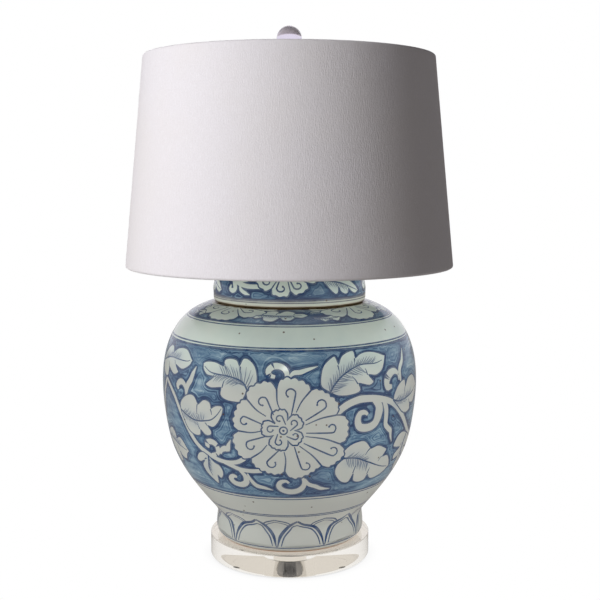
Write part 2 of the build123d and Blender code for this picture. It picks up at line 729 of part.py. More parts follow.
def shade_linen():
    wall = cone_band(SHADE_BOTTOM_Z, SHADE_TOP_Z, 0, LINEN_T)
    cloth = wall + rolled_edge(SHADE_TOP_Z, 1) + rolled_edge(SHADE_BOTTOM_Z, -1)
    for angle in ARM_ANGLES:
        slit = Pos(SHADE_TOP_R - ROLL_DEPTH, 0, SHADE_TOP_Z - ROLL_RETURN / 2 - 1.0)
        cloth = cloth - Rot(0, 0, angle) * slit * Box(*SLIT, ROLL_RETURN + 0.2)
    return cloth


# ---------------------------------------------------------------- finial
def finial_base():
    """Turned metal cap, tapped for the stud, that carries the ball."""
    low, top = FINIAL_SEAT_Z, BALL_FLAT_Z
    bore, bore_top = STUD_R + FIT, STUD_TOP + 1.5
    section = [
        line((bore, low), (FINIAL_FOOT_R, low)),
        line((FINIAL_FOOT_R, low), (FINIAL_FOOT_R, low + 2.0)),
        arc((FINIAL_FOOT_R, low + 2.0), (FINIAL_STEM_R + 0.6, low + 5.0), (FINIAL_STEM_R, low + 9.0)),
        arc((FINIAL_STEM_R, low + 9.0), (FINIAL_STEM_R + 0.6, top - 5.0), (FINIAL_CUP_R, top - 2.2)),
        line((FINIAL_CUP_R, top - 2.2), (FINIAL_CUP_R, top)),
        line((FINIAL_CUP_R, top), (0, top)),
        line((0, top), (0, bore_top)),
        line((0, bore_top), (bore, bore_top)),
        line((bore, bore_top), (bore, low)),
    ]
    return turned_edges(*section)


def finial_ball():
    keep = disc(2 * BALL_R, BALL_FLAT_Z, 3 * BALL_R)
    return Pos(0, 0, BALL_CENTRE_Z) * Sphere(BALL_R) & keep


# ---------------------------------------------------------------- write every node
NODES = {
    "base_disc": base_disc,
    "base_bumpers": base_bumpers,
    "base_washer": base_washer,
    "base_lock_washer": base_lock_washer,
    "base_nut": base_nut,
    "lamp_rod": lamp_rod,
    "jar_body": jar_body,
    "jar_lid": jar_lid,
    "cord_grommet": cord_grommet,
    "lid_washer": lid_washer,
    "check_ring": check_ring,
    "lock_nut": lock_nut,
    "harp_saddle": harp_saddle,
    "socket_cap": socket_cap,
    "cap_set_screw": cap_set_screw,
    "socket_shell": socket_shell,
    "socket_liner": socket_liner,
    "socket_body": socket_body,
    "screw_shell": screw_shell,
    "centre_contact": centre_contact,
    "terminal_screws": terminal_screws,
    "switch_knob": switch_knob,
    "bulb_cap": bulb_cap,
    "bulb_insulator": bulb_insulator,
    "bulb_tip": bulb_tip,
    "bulb_glass": bulb_glass,
    "bulb_stem": bulb_stem,
    "harp_frame": harp_frame,
    "harp_sleeve_left": lambda: harp_sleeve(-1),
    "harp_sleeve_right": lambda: harp_sleeve(1),
    "harp_stud": harp_stud,
    "shade_spider": shade_spider,
    "shade_bottom_ring": shade_bottom_ring,
    "shade_liner": shade_liner,
    "shade_linen": shade_linen,
    "finial_base": finial_base,
    "finial_ball": finial_ball,
}

os.makedirs("parts", exist_ok=True)
for name, make in NODES.items():
    export_step(make(), f"parts/{name}.step")
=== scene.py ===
"""Looks of the ginger jar table lamp.

Metres, +Z up, -Y is the front. The painting on the porcelain is laid out flat: degrees round the jar from the
front, and millimetres along the outside of the wall from its lower edge."""

import json
import math
import random
import bmesh
import bpy
import numpy
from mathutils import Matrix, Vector, kdtree, noise
from mathutils.geometry import delaunay_2d_cdt


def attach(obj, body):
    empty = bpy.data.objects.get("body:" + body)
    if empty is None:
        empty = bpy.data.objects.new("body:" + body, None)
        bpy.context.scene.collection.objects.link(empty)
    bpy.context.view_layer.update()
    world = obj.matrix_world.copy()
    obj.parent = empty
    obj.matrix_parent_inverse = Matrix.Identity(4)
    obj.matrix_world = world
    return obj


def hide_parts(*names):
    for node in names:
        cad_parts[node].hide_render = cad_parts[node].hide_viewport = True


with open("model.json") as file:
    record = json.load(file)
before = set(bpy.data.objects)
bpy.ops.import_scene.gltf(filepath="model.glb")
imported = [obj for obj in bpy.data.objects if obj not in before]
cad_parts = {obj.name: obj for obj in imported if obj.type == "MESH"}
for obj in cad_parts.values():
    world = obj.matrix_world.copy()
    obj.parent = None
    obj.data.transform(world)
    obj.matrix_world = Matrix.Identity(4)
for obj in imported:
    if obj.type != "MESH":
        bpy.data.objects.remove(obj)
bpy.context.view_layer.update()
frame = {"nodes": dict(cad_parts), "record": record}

nodes = frame["nodes"]
MM = 0.001
DEG = math.pi / 180


# ---------------------------------------------------------------- camera, floor and light
def look_from(location, pitch):
    """The camera stands in front, a little above the jar's widest part, and looks slightly down."""
    camera = bpy.data.objects.new("camera", bpy.data.cameras.new("camera"))
    bpy.context.collection.objects.link(camera)
    camera.location = location
    camera.rotation_euler = (math.pi / 2 - pitch * DEG, 0, 0)
    camera.data.sensor_width = 36.0
    camera.data.lens = 63.6
    camera.data.clip_start = 0.05
    bpy.context.scene.camera = camera


def softbox(name, location, target, size, power, color=(1, 1, 1), shine=True):
    data = bpy.data.lights.new(name, "AREA")
    data.shape = "RECTANGLE"
    data.size, data.size_y = size
    data.energy = power
    data.color = color
    lamp = bpy.data.objects.new(name, data)
    lamp.location = location
    aim = Vector(target) - Vector(location)
    lamp.rotation_euler = aim.to_track_quat("-Z", "Y").to_euler()
    lamp.visible_glossy = shine
    lamp.visible_transmission = shine
    bpy.context.collection.objects.link(lamp)
    return lamp


look_from((0.0148, -1.492, 0.544), 6.8)
shade_light = softbox("shade_light", (-1.55, -1.4, 1.1), (0, 0, 0.5), (0.9, 1.3), 39.5)
jar_lights = [
    softbox("jar_front", (0.1, -2.2, 0.9), (0, 0, 0.2), (1.2, 0.9), 2.5, shine=False),
    softbox("jar_glint", (-0.12, -2.0, 0.95), (0, 0, 0.2), (0.12, 0.1), 1.8),
    softbox("jar_left", (-1.9, -0.6, 0.3), (0, 0, 0.2), (1.4, 1.2), 23.5, shine=False),
    softbox("jar_right", (1.9, -0.6, 0.3), (0, 0, 0.2), (1.4, 1.2), 22, shine=False),
    softbox("base_fill", (0, -1.3, 0.03), (0, 0, 0.06), (1.8, 0.05), 4, shine=False),
]
softbox("back_light", (0.2, 2.4, 1.0), (0, 0, 0.4), (1.2, 1.0), 30, shine=False)


# ---------------------------------------------------------------- smooth lines
def spline_through(points, start, end, per_span):
    """Points of a curve with even bending through (radius, height) points, with given end directions."""
    p = numpy.array(points, float)
    h = numpy.hypot(*numpy.diff(p, axis=0).T)
    n = len(p)
    a = numpy.eye(n)
    b = numpy.zeros((n, 2))
    b[0] = numpy.array(start) / math.hypot(*start)
    b[-1] = numpy.array(end) / math.hypot(*end)
    for i in range(1, n - 1):
        a[i, i - 1] = h[i]
        a[i, i] = 2 * (h[i - 1] + h[i])
        a[i, i + 1] = h[i - 1]
        b[i] = 3 * (h[i] * (p[i] - p[i - 1]) / h[i - 1] + h[i - 1] * (p[i + 1] - p[i]) / h[i])
    m = numpy.linalg.solve(a, b)
    found = []
    for i in range(n - 1):
        for k in range(per_span):
            t = k / per_span
            found.append(
                (2 * t**3 - 3 * t**2 + 1) * p[i]
                + (t**3 - 2 * t**2 + t) * h[i] * m[i]
                + (3 * t**2 - 2 * t**3) * p[i + 1]
                + (t**3 - t**2) * h[i] * m[i + 1]
            )
    found.append(p[-1])
    return [tuple(q) for q in found]


def arc_through(a, middle, b, count):
    """Points of a circular arc through three (radius, height) points, both ends included."""
    ax, ay = a
    bx, by = middle
    cx, cy = b
    d = 2 * (ax * (by - cy) + bx * (cy - ay) + cx * (ay - by))
    ux = ((ax**2 + ay**2) * (by - cy) + (bx**2 + by**2) * (cy - ay) + (cx**2 + cy**2) * (ay - by)) / d
    uy = ((ax**2 + ay**2) * (cx - bx) + (bx**2 + by**2) * (ax - cx) + (cx**2 + cy**2) * (bx - ax)) / d
    radius = math.hypot(ax - ux, ay - uy)
    first, mid, last = (math.atan2(y - uy, x - ux) for x, y in (a, middle, b))
    turn = (last - first) % (2 * math.pi)
    if (mid - first) % (2 * math.pi) > turn:
        turn -= 2 * math.pi
    angles = [first + turn * i / (count - 1) for i in range(count)]
    return [(ux + radius * math.cos(t), uy + radius * math.sin(t)) for t in angles]


def flowing(points, step):
    """A smooth line through 2-D points, sampled about every step."""
    p = [Vector(q[:2]) for q in points]
    p = [2 * p[0] - p[1], *p, 2 * p[-1] - p[-2]]
    found = []
    for a, b, c, d in zip(p, p[1:], p[2:], p[3:]):
        count = max(1, round((c - b).length / step))
        for k in range(count):
            t = k / count
            found.append(
                0.5 * (2 * b + (c - a) * t + (2 * a - 5 * b + 4 * c - d) * t**2 + (3 * b - a - 3 * c + d) * t**3)
            )
    found.append(p[-2])
    return [tuple(q) for q in found]


def between(values, t):
    """Reads evenly spaced values at t from 0 to 1."""
    if not isinstance(values, (tuple, list)):
        return values
    place = t * (len(values) - 1)
    i = min(int(place), len(values) - 2)
    return values[i] + (values[i + 1] - values[i]) * (place - i)


class Wall:
    """The outside of a turned wall, measured along its length in mm."""

    def __init__(self, points):
        self.points = numpy.array(points)
        steps = numpy.hypot(*numpy.diff(self.points, axis=0).T)
        self.run = numpy.concatenate([[0], numpy.cumsum(steps)])
        self.length = float(self.run[-1])

    def radius(self, s):
        return float(numpy.interp(s, self.run, self.points[:, 0]))

    def height(self, s):
        return float(numpy.interp(s, self.run, self.points[:, 1]))

    def run_at_height(self, z):
        return float(numpy.interp(z, self.points[:, 1], self.run))

    def facing(self, s):
        """(outwards, upwards) of the surface."""
        d = 1.2
        a, b = max(0, s - d), min(self.length, s + d)
        dr, dz = self.radius(b) - self.radius(a), self.height(b) - self.height(a)
        size = math.hypot(dr, dz)
        return dz / size, -dr / size


# ---------------------------------------------------------------- the painted wall
GLAZE, WASH, INK, FINE, GAP = range(5)
INK_STRENGTH = {GLAZE: 0.0, WASH: 0.0, INK: 1.0, FINE: 0.72}
LINE_WEIGHT = 1.4
STROKE_STEP = 2.3
GRID_U = 2.5  # degrees between free points of the wall's mesh
GRID_S = 5.0
WASH_GRID = 3.4  # mm between free points where the wash shows, which needs a finer mesh for its shades
RING_STEPS = 180
LEAF_TINT_REACH = 11.0


class Painting:
    """Shapes drawn on a flattened wall. Its mesh gets an edge along each brush line, so every line is as sharp
    and as fine as it was drawn. A later shape covers an earlier one."""

    def __init__(self, wall, seam, bands):
        self.wall = wall
        self.seam = seam
        self.bands = bands
        self.scale = float(max(wall.points[:, 0])) * DEG
        self.corners, self.faces, self.paints, self.boxes = [], [], [], []
        self.lines, self.tints = [], []
        self.turn, self.wander = 0.0, 0.0

    def stretch(self, s):
        """Flat mm for each mm round the wall."""
        return self.scale / (self.wall.radius(s) * DEG)

    def flat(self, points):
        return [(q[0] * self.scale, q[1]) for q in points]

    def away(self, theta, s, dx, dy):
        """The place dx mm to the right of and dy mm above a place."""
        return theta + dx / (self.wall.radius(s + dy) * DEG), s + dy

    def moved(self, x, y):
        """Turned round the wall, and a little out of place as a second drawing by hand is."""
        if not self.wander:
            return x + self.turn * self.scale, y
        sway = noise.noise_vector((x / 55, y / 45, self.turn)) * self.wander
        return x + self.turn * self.scale + sway.x, y + sway.y

    def add(self, points, faces, paint):
        points = [self.moved(*q) for q in points]
        round_trip = 360 * self.scale
        first = self.seam * self.scale
        left, right = min(q[0] for q in points), max(q[0] for q in points)
        for shift in (-round_trip, 0, round_trip):
            if right + shift < first - 1 or left + shift > first + round_trip + 1:
                continue
            base = len(self.corners)
            self.corners += [(x + shift, y) for x, y in points]
            for face in faces:
                ring = [points[i] for i in face]
                area = sum(a[0] * b[1] - b[0] * a[1] for a, b in zip(ring, ring[1:] + ring[:1]))
                if abs(area) > 1e-3:
                    order = face if area > 0 else face[::-1]
                    self.faces.append([base + i for i in order])
                    self.paints.append(paint)
                    xs, ys = [q[0] + shift for q in ring], [q[1] for q in ring]
                    self.boxes.append((min(xs), max(xs), min(ys), max(ys)))

    def fill(self, points, paint=GLAZE):
        """A shape with a closed outline of flat points."""
        self.add(points, [list(range(len(points)))], paint)

    def band(self, points, width, paint):
        """A brush line of a width, or of evenly spaced widths, along flat points."""
        count = len(points)
        wide = isinstance(width, list)
        weight = 1.0 if wide else LINE_WEIGHT
        sides = []
        for i, (x, y) in enumerate(points):
            before, after = points[max(i - 1, 0)], points[min(i + 1, count - 1)]
            k = self.stretch(y)
            tx, ty = (after[0] - before[0]) / k, after[1] - before[1]
            size = math.hypot(tx, ty) or 1.0
            half = between(width, i / (count - 1)) / 2 * weight
            ox, oy = -ty / size * half * k, tx / size * half
            sides += [(x + ox, y + oy), (x - ox, y - oy)]
        faces = []
        for i in range(0, 2 * count - 2, 2):
            faces += [[i, i + 1, i + 3], [i, i + 3, i + 2]]
        self.add(sides, faces, paint)
        if paint == INK:
            self.lines += [self.moved(*q) for q in (sides if wide else points)]

    def stroke(self, points, width=(0.7, 1.5, 1.4, 0.8), paint=INK):
        """A brush line through (degrees, mm) points."""
        self.band(flowing(self.flat(points), STROKE_STEP), width, paint)

    def dab(self, theta, s, size, paint=INK):
        """A round touch of the brush."""
        ring = [self.away(theta, s, size * math.cos(a), size * math.sin(a)) for a in turns(9)]
        self.fill(self.flat(ring), paint)

    def hoop(self, s, width, paint=INK, sway=0.35):
        """A line drawn all the way round while the jar turns."""
        count = 120
        line = []
        for i in range(-1, count + 2):
            a = 2 * math.pi * i / count
            dy = sway * (math.sin(a + s) + 0.5 * math.sin(3 * a + 2 * s) + 0.3 * math.sin(7 * a + s))
            line.append(((self.seam + 360 * i / count) * self.scale, s + dy))
        self.band(line, width, paint)

    def stem(self, points, width, line=1.8):
        """A vine, left bare between two brush lines. Returns the bare part, to be filled in later."""
        path = flowing(self.flat(points), STROKE_STEP)
        wide = [w + 2 * line for w in width]
        self.band(path, wide, INK)
        return path, width

    def near(self, spots):
        """A search tree of flat spots, repeated past both sides of the seam."""
        round_trip = 360 * self.scale
        first = self.seam * self.scale
        found = [(-1e6, 0.0)]
        for x, y in spots:
            for shift in (-round_trip, 0, round_trip):
                if first - 25 < x + shift < first + round_trip + 25:
                    found.append((x + shift, y))
        tree = kdtree.KDTree(len(found))
        for i, (x, y) in enumerate(found):
            tree.insert((x, y, 0), i)
        tree.balance()
        return tree

    def build(self, bm, layers, mark, grid=True):
        """Adds the wall to a bmesh, with its paint in the layers."""
        wall, scale = self.wall, self.scale
        first, last = self.seam * scale, (self.seam + 360) * scale
        rows = max(1, round(wall.length / GRID_S))
        columns = round(360 / GRID_U)
        points = list(self.corners)
        edges = []

        def border(places):
            base = len(points)
            points.extend(places)
            edges.extend((base + i, base + i + 1) for i in range(len(places) - 1))

        level = [wall.length * i / rows for i in range(rows + 1)]
        around = [first + (last - first) * i / RING_STEPS for i in range(RING_STEPS + 1)]
        border([(first, s) for s in level])
        border([(last, s) for s in level])
        border([(x, 0.0) for x in around])
        border([(x, wall.length) for x in around])
        for j in range(1, rows):
            for i in range(columns):
                x = first + (last - first) * (i + (0.5 if j % 2 else 0.25)) / columns
                if self.ground(level[j]) == GLAZE:
                    points.append((x, level[j]))
        shapes = [i for i, face in enumerate(self.faces) if len(face) > 4]
        for low, high in self.bands:
            lines = round((min(high, wall.length) - low) / WASH_GRID)
            for j in range(1, lines):
                s = low + WASH_GRID * j
                across = round((last - first) / (WASH_GRID * self.stretch(s)))
                for i in range(across):
                    x = first + (last - first) * (i + (0.5 if j % 2 else 0.25)) / across
                    if not any(self.covers(face, x, s) for face in shapes) or (i % 3 == 0 and j % 3 == 0):
                        points.append((x, s))
        found = delaunay_2d_cdt([Vector(q) for q in points], edges, self.faces, 0, 1e-4, True)
        flat_verts, triangles, sources = found[0], found[2], found[5]
        outlines, leaves = self.near(self.lines), self.near(self.tints)

        made = []
        for q in flat_verts:
            theta, s = q.x / scale * DEG, min(max(q.y, 0.0), wall.length)
            r, z = wall.radius(s) * MM, wall.height(s) * MM
            vert = bm.verts.new((r * math.sin(theta), -r * math.cos(theta), z))
            spot = Vector((q.x, q.y, 0))
            vert[layers["run"]] = s
            vert[layers["edge"]] = min(outlines.find(spot)[2], 20.0)
            vert[layers["tint"]] = max(0.0, 1 - leaves.find(spot)[2] / LEAF_TINT_REACH)
            made.append(vert)
        for face, source in zip(triangles, sources):
            x = sum(flat_verts[i].x for i in face) / 3
            s = sum(flat_verts[i].y for i in face) / 3
            if not (first < x < last and 0 < s < wall.length):
                continue
            paint = self.paint_at(x, s, source)
            if paint == GAP:
                continue
            made_face = bm.faces.new([made[i] for i in face])
            made_face[layers["skin"]] = mark
            for loop, i in zip(made_face.loops, face):
                loop[layers["wash"]] = 1.0 if paint == WASH else 0.0
                loop[layers["ink"]] = INK_STRENGTH[paint]
                q = flat_verts[i]
                loop[layers["uv"]].uv = ((q.x - first) / (last - first), 0.3 + 0.7 * q.y / wall.length)
        loose = [v for v in made if not v.link_faces]
        bmesh.ops.delete(bm, geom=loose, context="VERTS")
        turn = self.seam * DEG
        across = Vector((math.cos(turn), math.sin(turn), 0))
        seam = [v for v in bm.verts if v.is_boundary and abs(v.co.dot(across)) < 2e-6]
        bmesh.ops.remove_doubles(bm, verts=seam, dist=5e-6)
        steep = [e for e in bm.edges if e.is_boundary and abs(e.verts[0].co.z - e.verts[1].co.z) > 1e-6]
        slits = [e for e in steep if all(abs(v.co.dot(across)) < 2e-6 for v in e.verts)]
        bmesh.ops.holes_fill(bm, edges=slits, sides=0)

    def covers(self, face, x, y):
        """Whether a drawn shape covers a spot."""
        left, right, low, high = self.boxes[face]
        if not (left <= x <= right and low <= y <= high):
            return False
        ring = [self.corners[i] for i in self.faces[face]]
        inside = False
        for (ax, ay), (bx, by) in zip(ring, ring[1:] + ring[:1]):
            if (ay > y) != (by > y) and x < ax + (y - ay) * (bx - ax) / (by - ay):
                inside = not inside
        return inside

    def ground(self, s):
        return WASH if any(low < s < high for low, high in self.bands) else GLAZE

    def paint_at(self, x, s, faces):
        """The paint of the last drawn of some shapes that covers a spot, or else the ground's."""
        for face in sorted(faces, reverse=True):
            if self.covers(face, x, s):
                return self.paints[face]
        return self.ground(s)


def turns(count, start=0.0):
    return [start + 2 * math.pi * i / count for i in range(count)]


def paint_layers(bm):
    return {
        "run": bm.verts.layers.float.new("run"),
        "edge": bm.verts.layers.float.new("edge"),
        "tint": bm.verts.layers.float.new("tint"),
        "wash": bm.loops.layers.float.new("wash"),
        "ink": bm.loops.layers.float.new("ink"),
        "skin": bm.faces.layers.int.new("skin"),
        "uv": bm.loops.layers.uv.new("OFBake"),
    }


# ---------------------------------------------------------------- motifs
NOTCH_DEPTH = 0.2
HATCH_STEP = 3.2
def deepened(art, outline, midrib):
    """The outline, closed, with its notches drawn a little closer to the midrib."""
    rib = flowing(midrib, 1.0)
    ring = [*outline, outline[0]]
    far = max(math.dist(art.flat([q])[0], art.flat([outline[0]])[0]) for q in outline if len(q) > 2)
    for i, q in enumerate(outline):
        tip = math.dist(art.flat([q])[0], art.flat([outline[0]])[0]) == far
        if i and len(q) > 2 and not tip:
            near = rib[nearest_on(art.flat(rib), art.flat([q])[0])]
            ring[i] = tuple(q[k] + NOTCH_DEPTH * (near[k] - q[k]) for k in range(2))
    return ring


def lobed_outline(art, outline, midrib):
    """Flat points of an outline whose corners are marked by a third value, smooth between them."""
    corners = [i for i, q in enumerate(outline) if len(q) > 2]
    ring = deepened(art, outline, midrib)
    found = []
    for a, b in zip(corners, [*corners[1:], len(outline)]):
        found += flowing(art.flat(ring[a : b + 1]), STROKE_STEP)[:-1]
    return found


def nearest_on(path, spot):
    gaps = [math.hypot(q[0] - spot[0], q[1] - spot[1]) for q in path]
    return gaps.index(min(gaps))


def leaf(art, outline, midrib, hatch, rng):
    """A lobed leaf: its bare shape, outline, midrib, a short line in from each notch, and fine strokes that
    lean off the midrib. The outline starts at the root, and its corners are the root, the notches and the tip."""
    shape = lobed_outline(art, outline, midrib)
    art.fill(shape)
    art.band(shape + shape[:1], 1.25, INK)
    rib = flowing(art.flat(midrib), STROKE_STEP)
    art.band(rib, (1.9, 1.5, 1.3, 0.7), INK)
    tip = max((q for q in outline[1:] if len(q) > 2), key=lambda q: math.dist(art.flat([q])[0], rib[0]))
    for q in outline[1:]:
        if len(q) > 2 and q is not tip:
            spot = art.flat([q])[0]
            end = rib[max(0, nearest_on(rib, spot) - 3)]
            spot = [spot[k] + NOTCH_DEPTH * (end[k] - spot[k]) for k in range(2)]
            inner = [spot[k] + 0.6 * (end[k] - spot[k]) for k in range(2)]
            bow = [(spot[0] + inner[0]) / 2, (spot[1] + inner[1]) / 2 + 1.2]
            art.band(flowing([spot, bow, inner], STROKE_STEP), (1.3, 1.1, 0.6), INK)
    rib = flowing(art.flat(midrib), HATCH_STEP)
    for side, low, high, reach, lean in hatch:
        first, last = int(low * (len(rib) - 1)), int(high * (len(rib) - 1))
        for i in range(first, last):
            (x, y), (nx, ny) = rib[i], rib[i + 1]
            along = math.atan2(ny - y, nx - x)
            way = along + side * (lean + rng.uniform(-6, 6)) * DEG
            size = 1.4 * reach * rng.uniform(0.7, 1.05)
            a = (x + 0.9 * math.cos(way), y + 0.9 * math.sin(way))
            c = (x + size * math.cos(way - side * 0.18), y + size * math.sin(way - side * 0.18))
            b = ((a[0] + c[0]) / 2 + 0.6 * math.sin(way), (a[1] + c[1]) / 2 - 0.6 * math.cos(way))
            art.band([a, b, c], (1.15, 0.9, 0.3), FINE)
            art.tints.append(art.moved(*b))


def wheel_outline(art, theta, s, petals, wide=1.0, bumps=9.5, depth=2.5):
    """Flat points round a flower. Each petal is (notch angle, notch radius, ((angle, radius), ...)) in mm."""
    ring = []
    for i, (start, start_r, tips) in enumerate(petals):
        end, end_r, _ = petals[(i + 1) % len(petals)]
        end -= 360 if end > start else 0
        middle_r = sum(r for _, r in tips) / len(tips)
        length = abs(end - start) * DEG * middle_r
        count = max(3, round(length / bumps))
        steps = max(10, round(length / 1.7))
        for k in range(steps):
            t = k / steps
            angle = start + t * (end - start)
            known = [(start, tips[0][1]), *tips, (end, tips[-1][1])]
            top = numpy.interp(-angle, [-a for a, _ in known], [r for _, r in known])
            base = start_r + t * (end_r - start_r)
            r = base + (top - base) * (1 - abs(2 * t - 1) ** 4.5)
            fade = min(1, 7 * t, 7 * (1 - t))
            r += depth * fade * (abs(math.sin(math.pi * count * t)) - 0.45)
            a = angle * DEG
            ring.append(art.away(theta, s, r * math.cos(a) * wide, r * math.sin(a)))
    return art.flat(ring)


def hook(art, theta, s, start, centre, size, wide=1.0, way=1, width=1.5):
    """The line inside a petal: out from the middle, once round a loop, ending in a dab inside it. start and
    centre are (angle, radius) from the flower's middle."""
    sx, sy = start[1] * math.cos(start[0] * DEG), start[1] * math.sin(start[0] * DEG)
    cx, cy = centre[1] * math.cos(centre[0] * DEG), centre[1] * math.sin(centre[0] * DEG)
    heading = math.atan2(cy - sy, cx - sx)
    path = [(sx, sy)]
    side = heading - way * math.pi / 2
    path.append(
        ((sx + cx) / 2 + size * 0.55 * math.cos(side), (sy + cy) / 2 + size * 0.55 * math.sin(side))
    )
    for k in range(8):
        angle = side + way * k * 33 * DEG
        r = size * (1.05 - 0.055 * k)
        path.append((cx + r * math.cos(angle), cy + r * math.sin(angle)))
    points = [art.away(theta, s, x * wide, y) for x, y in path]
    art.stroke(points, (width * 0.7, width, width * 1.05, width, width * 0.9))
    art.dab(*points[-1], width * 0.95)


def main_flower(art, theta, s):
    """The peony seen from the front: nine scalloped petals round a five-petalled rosette."""
    petals = (
        (99, 54, ((78, 69),)),
        (56, 63, ((48, 71), (26, 79))),
        (15, 71, ((2, 86),)),
        (-16, 76, ((-27, 88), (-38, 82))),
        (-46, 71, ((-60, 70), (-76, 71))),
        (-89, 57, ((-111, 64),)),
        (-137, 58, ((-165, 70),)),
        (-177, 59, ((-191, 68),)),
        (-220, 61, ((-230, 70), (-247, 68))),
    )
    hooks = (
        ((64, 23), (80, 49), 6.8),
        ((25, 31), (35, 58.5), 7.2),
        ((-7, 29), (1.4, 62.5), 6.2),
        ((-34, 31), (-25, 71), 6.6),
        ((-58, 26), (-60, 57), 6.4),
        ((-99, 25), (-108, 48.5), 6.6),
        ((-160, 22), (-152.6, 48), 6.6),
        ((164, 27), (168.4, 52), 6.0),
        ((121, 24), (125.6, 45.5), 6.4),
    )
    shape = wheel_outline(art, theta, s, petals)
    art.fill(shape)
    art.band(shape + shape[:1], 1.45, INK)
    for angle, radius, _ in petals:
        spokes = [(angle + d, r) for d, r in ((0, radius), (2.5, radius * 0.72), (0, 29))]
        points = [art.away(theta, s, r * math.cos(a * DEG), r * math.sin(a * DEG)) for a, r in spokes]
        art.stroke(points, (1.7, 1.4, 0.9))
    for start, centre, size in hooks:
        hook(art, theta, s, start, centre, size)
    rosette = (
        (138, 14, ((104, 28),)),
        (70, 14, ((33, 27),)),
        (1, 14, ((-30, 26),)),
        (-68, 14, ((-115, 27),)),
        (-152, 14, ((-189, 28),)),
    )
    ring = wheel_outline(art, theta, s, rosette, bumps=6.0, depth=1.7)
    art.band(ring + ring[:1], 1.5, INK)
    for i, (_, _, tips) in enumerate(rosette):
        angle = tips[0][0]
        hook(art, theta, s, (angle - 34, 8.5), (angle + 4, 16.5), 4.6, width=1.35)
    eye = [art.away(theta, s, 5 * math.cos(a), 5 * math.sin(a)) for a in turns(15)]
    art.stroke([*eye, eye[0]], 1.4)
    art.dab(theta, s, 1.6)


VINES = (
    (((-67.5, 258), (-62, 247), (-58.5, 238), (-56, 228), (-53, 215), (-50.6, 204), (-48, 193), (-45, 182),
      (-41.5, 174), (-37, 167.5), (-33, 163), (-28, 161), (-24, 162.5), (-21, 166.5), (-18.5, 172)),
     (5, 6, 6.5, 6.5, 6.5, 6, 6)),
    (((-30, 160.5), (-26, 156.5), (-22, 152.5), (-17, 151.5), (-12, 153)), (5, 6, 6, 6)),
    (((19, 229), (24, 240), (29, 245.5), (33, 246.5), (40, 244), (47, 238), (52, 229.5), (57, 217), (62, 203),
      (67, 189), (72, 179), (79, 171), (88, 170), (96, 179), (102, 200), (106, 225), (109, 243), (112.5, 258)),
     (9, 9.5, 8, 7, 6.5, 6, 6, 6, 5)),
    (((38, 244), (41, 234), (41, 222), (39.3, 211), (35.5, 207), (31.3, 209.5), (30, 219), (31, 227.5),
      (33.3, 228.5), (35, 225)), (7, 11, 14, 12, 11, 10.5, 10, 9, 7, 4)),
    (((43.3, 240), (45.6, 229), (46, 216), (46.2, 206), (48.5, 199), (50.2, 195), (51, 187), (52.6, 178)),
     (2, 8, 8, 8, 7, 7, 4, 0.6)),
    (((55, 262), (54.4, 271), (51.5, 275.5), (48, 272), (46, 264), (46.6, 256.5), (49.3, 256)),
     (2, 5, 8, 11, 11, 10, 5)),
    (((56.5, 259), (56, 272), (57, 279), (59.5, 286), (61, 294), (62.6, 302)), (2, 7, 7, 6, 4, 0.6)),
    (((-49, 243), (-49.3, 254), (-51.5, 260.5), (-54, 260), (-55.8, 255), (-54.8, 250)), (2, 5, 7, 8, 8, 4)),
    (((-48.6, 246), (-47.9, 258), (-46, 266), (-44.8, 275), (-43.2, 285)), (2, 8, 8, 6, 0.6)),
    (((-36, 169), (-33, 171), (-32.2, 177), (-32.8, 184), (-35, 187.5), (-37.5, 186), (-38.2, 181.5), (-36.8, 179.5)),
     (4, 6, 6, 7, 8, 8, 7, 4)),
    (((-31, 172), (-30.2, 178), (-28.3, 181), (-27, 180.5), (-26.5, 186), (-25.2, 194)), (2, 6, 8, 7, 4, 0.6)),
    (((-22.5, 151), (-20.4, 143), (-20.3, 133), (-23, 127), (-26.8, 128.5), (-28.2, 135.5), (-26.6, 140.5),
      (-24.8, 139)), (4, 6, 8, 9, 9, 8, 7, 4)),
    (((-19, 147), (-17.8, 137), (-15.5, 128), (-11.5, 124.5), (-7.5, 121)), (2, 5, 7, 5, 0.6)),
    (((6.5, 143), (7.4, 132), (5.6, 122.5), (1.8, 118.5), (-2.4, 121), (-4.6, 128), (-3.8, 135.5), (-1.2, 137.5),
      (0.2, 134)), (3, 6, 8, 9, 9, 8, 7, 6, 3)),
    (((7.5, 141), (9.5, 131.5), (13, 127), (16, 122.5), (20.5, 121)), (2, 6, 6, 5, 0.6)),
    (((-0.8, 274), (-0.6, 285), (-2.6, 292.5), (-6, 293.5), (-8.2, 288), (-7.6, 282), (-5.4, 280)),
     (3, 6, 7, 8, 8, 7, 4)),
    (((0, 278), (2.2, 285), (5, 286), (8, 289), (12.5, 293)), (2, 6, 6, 4, 0.6)),
    (((86, 168), (84.5, 158), (86, 148), (90, 144), (93.5, 148), (93.5, 155), (91, 157)), (4, 7, 8, 9, 8, 7, 4)),
    (((96, 176), (99, 163), (97.5, 150), (100, 139), (104, 130)), (2, 7, 7, 6, 0.6)),
    (((104, 210), (99, 205), (95.5, 212), (96.5, 222), (99.5, 224)), (3, 7, 8, 7, 4)),
)

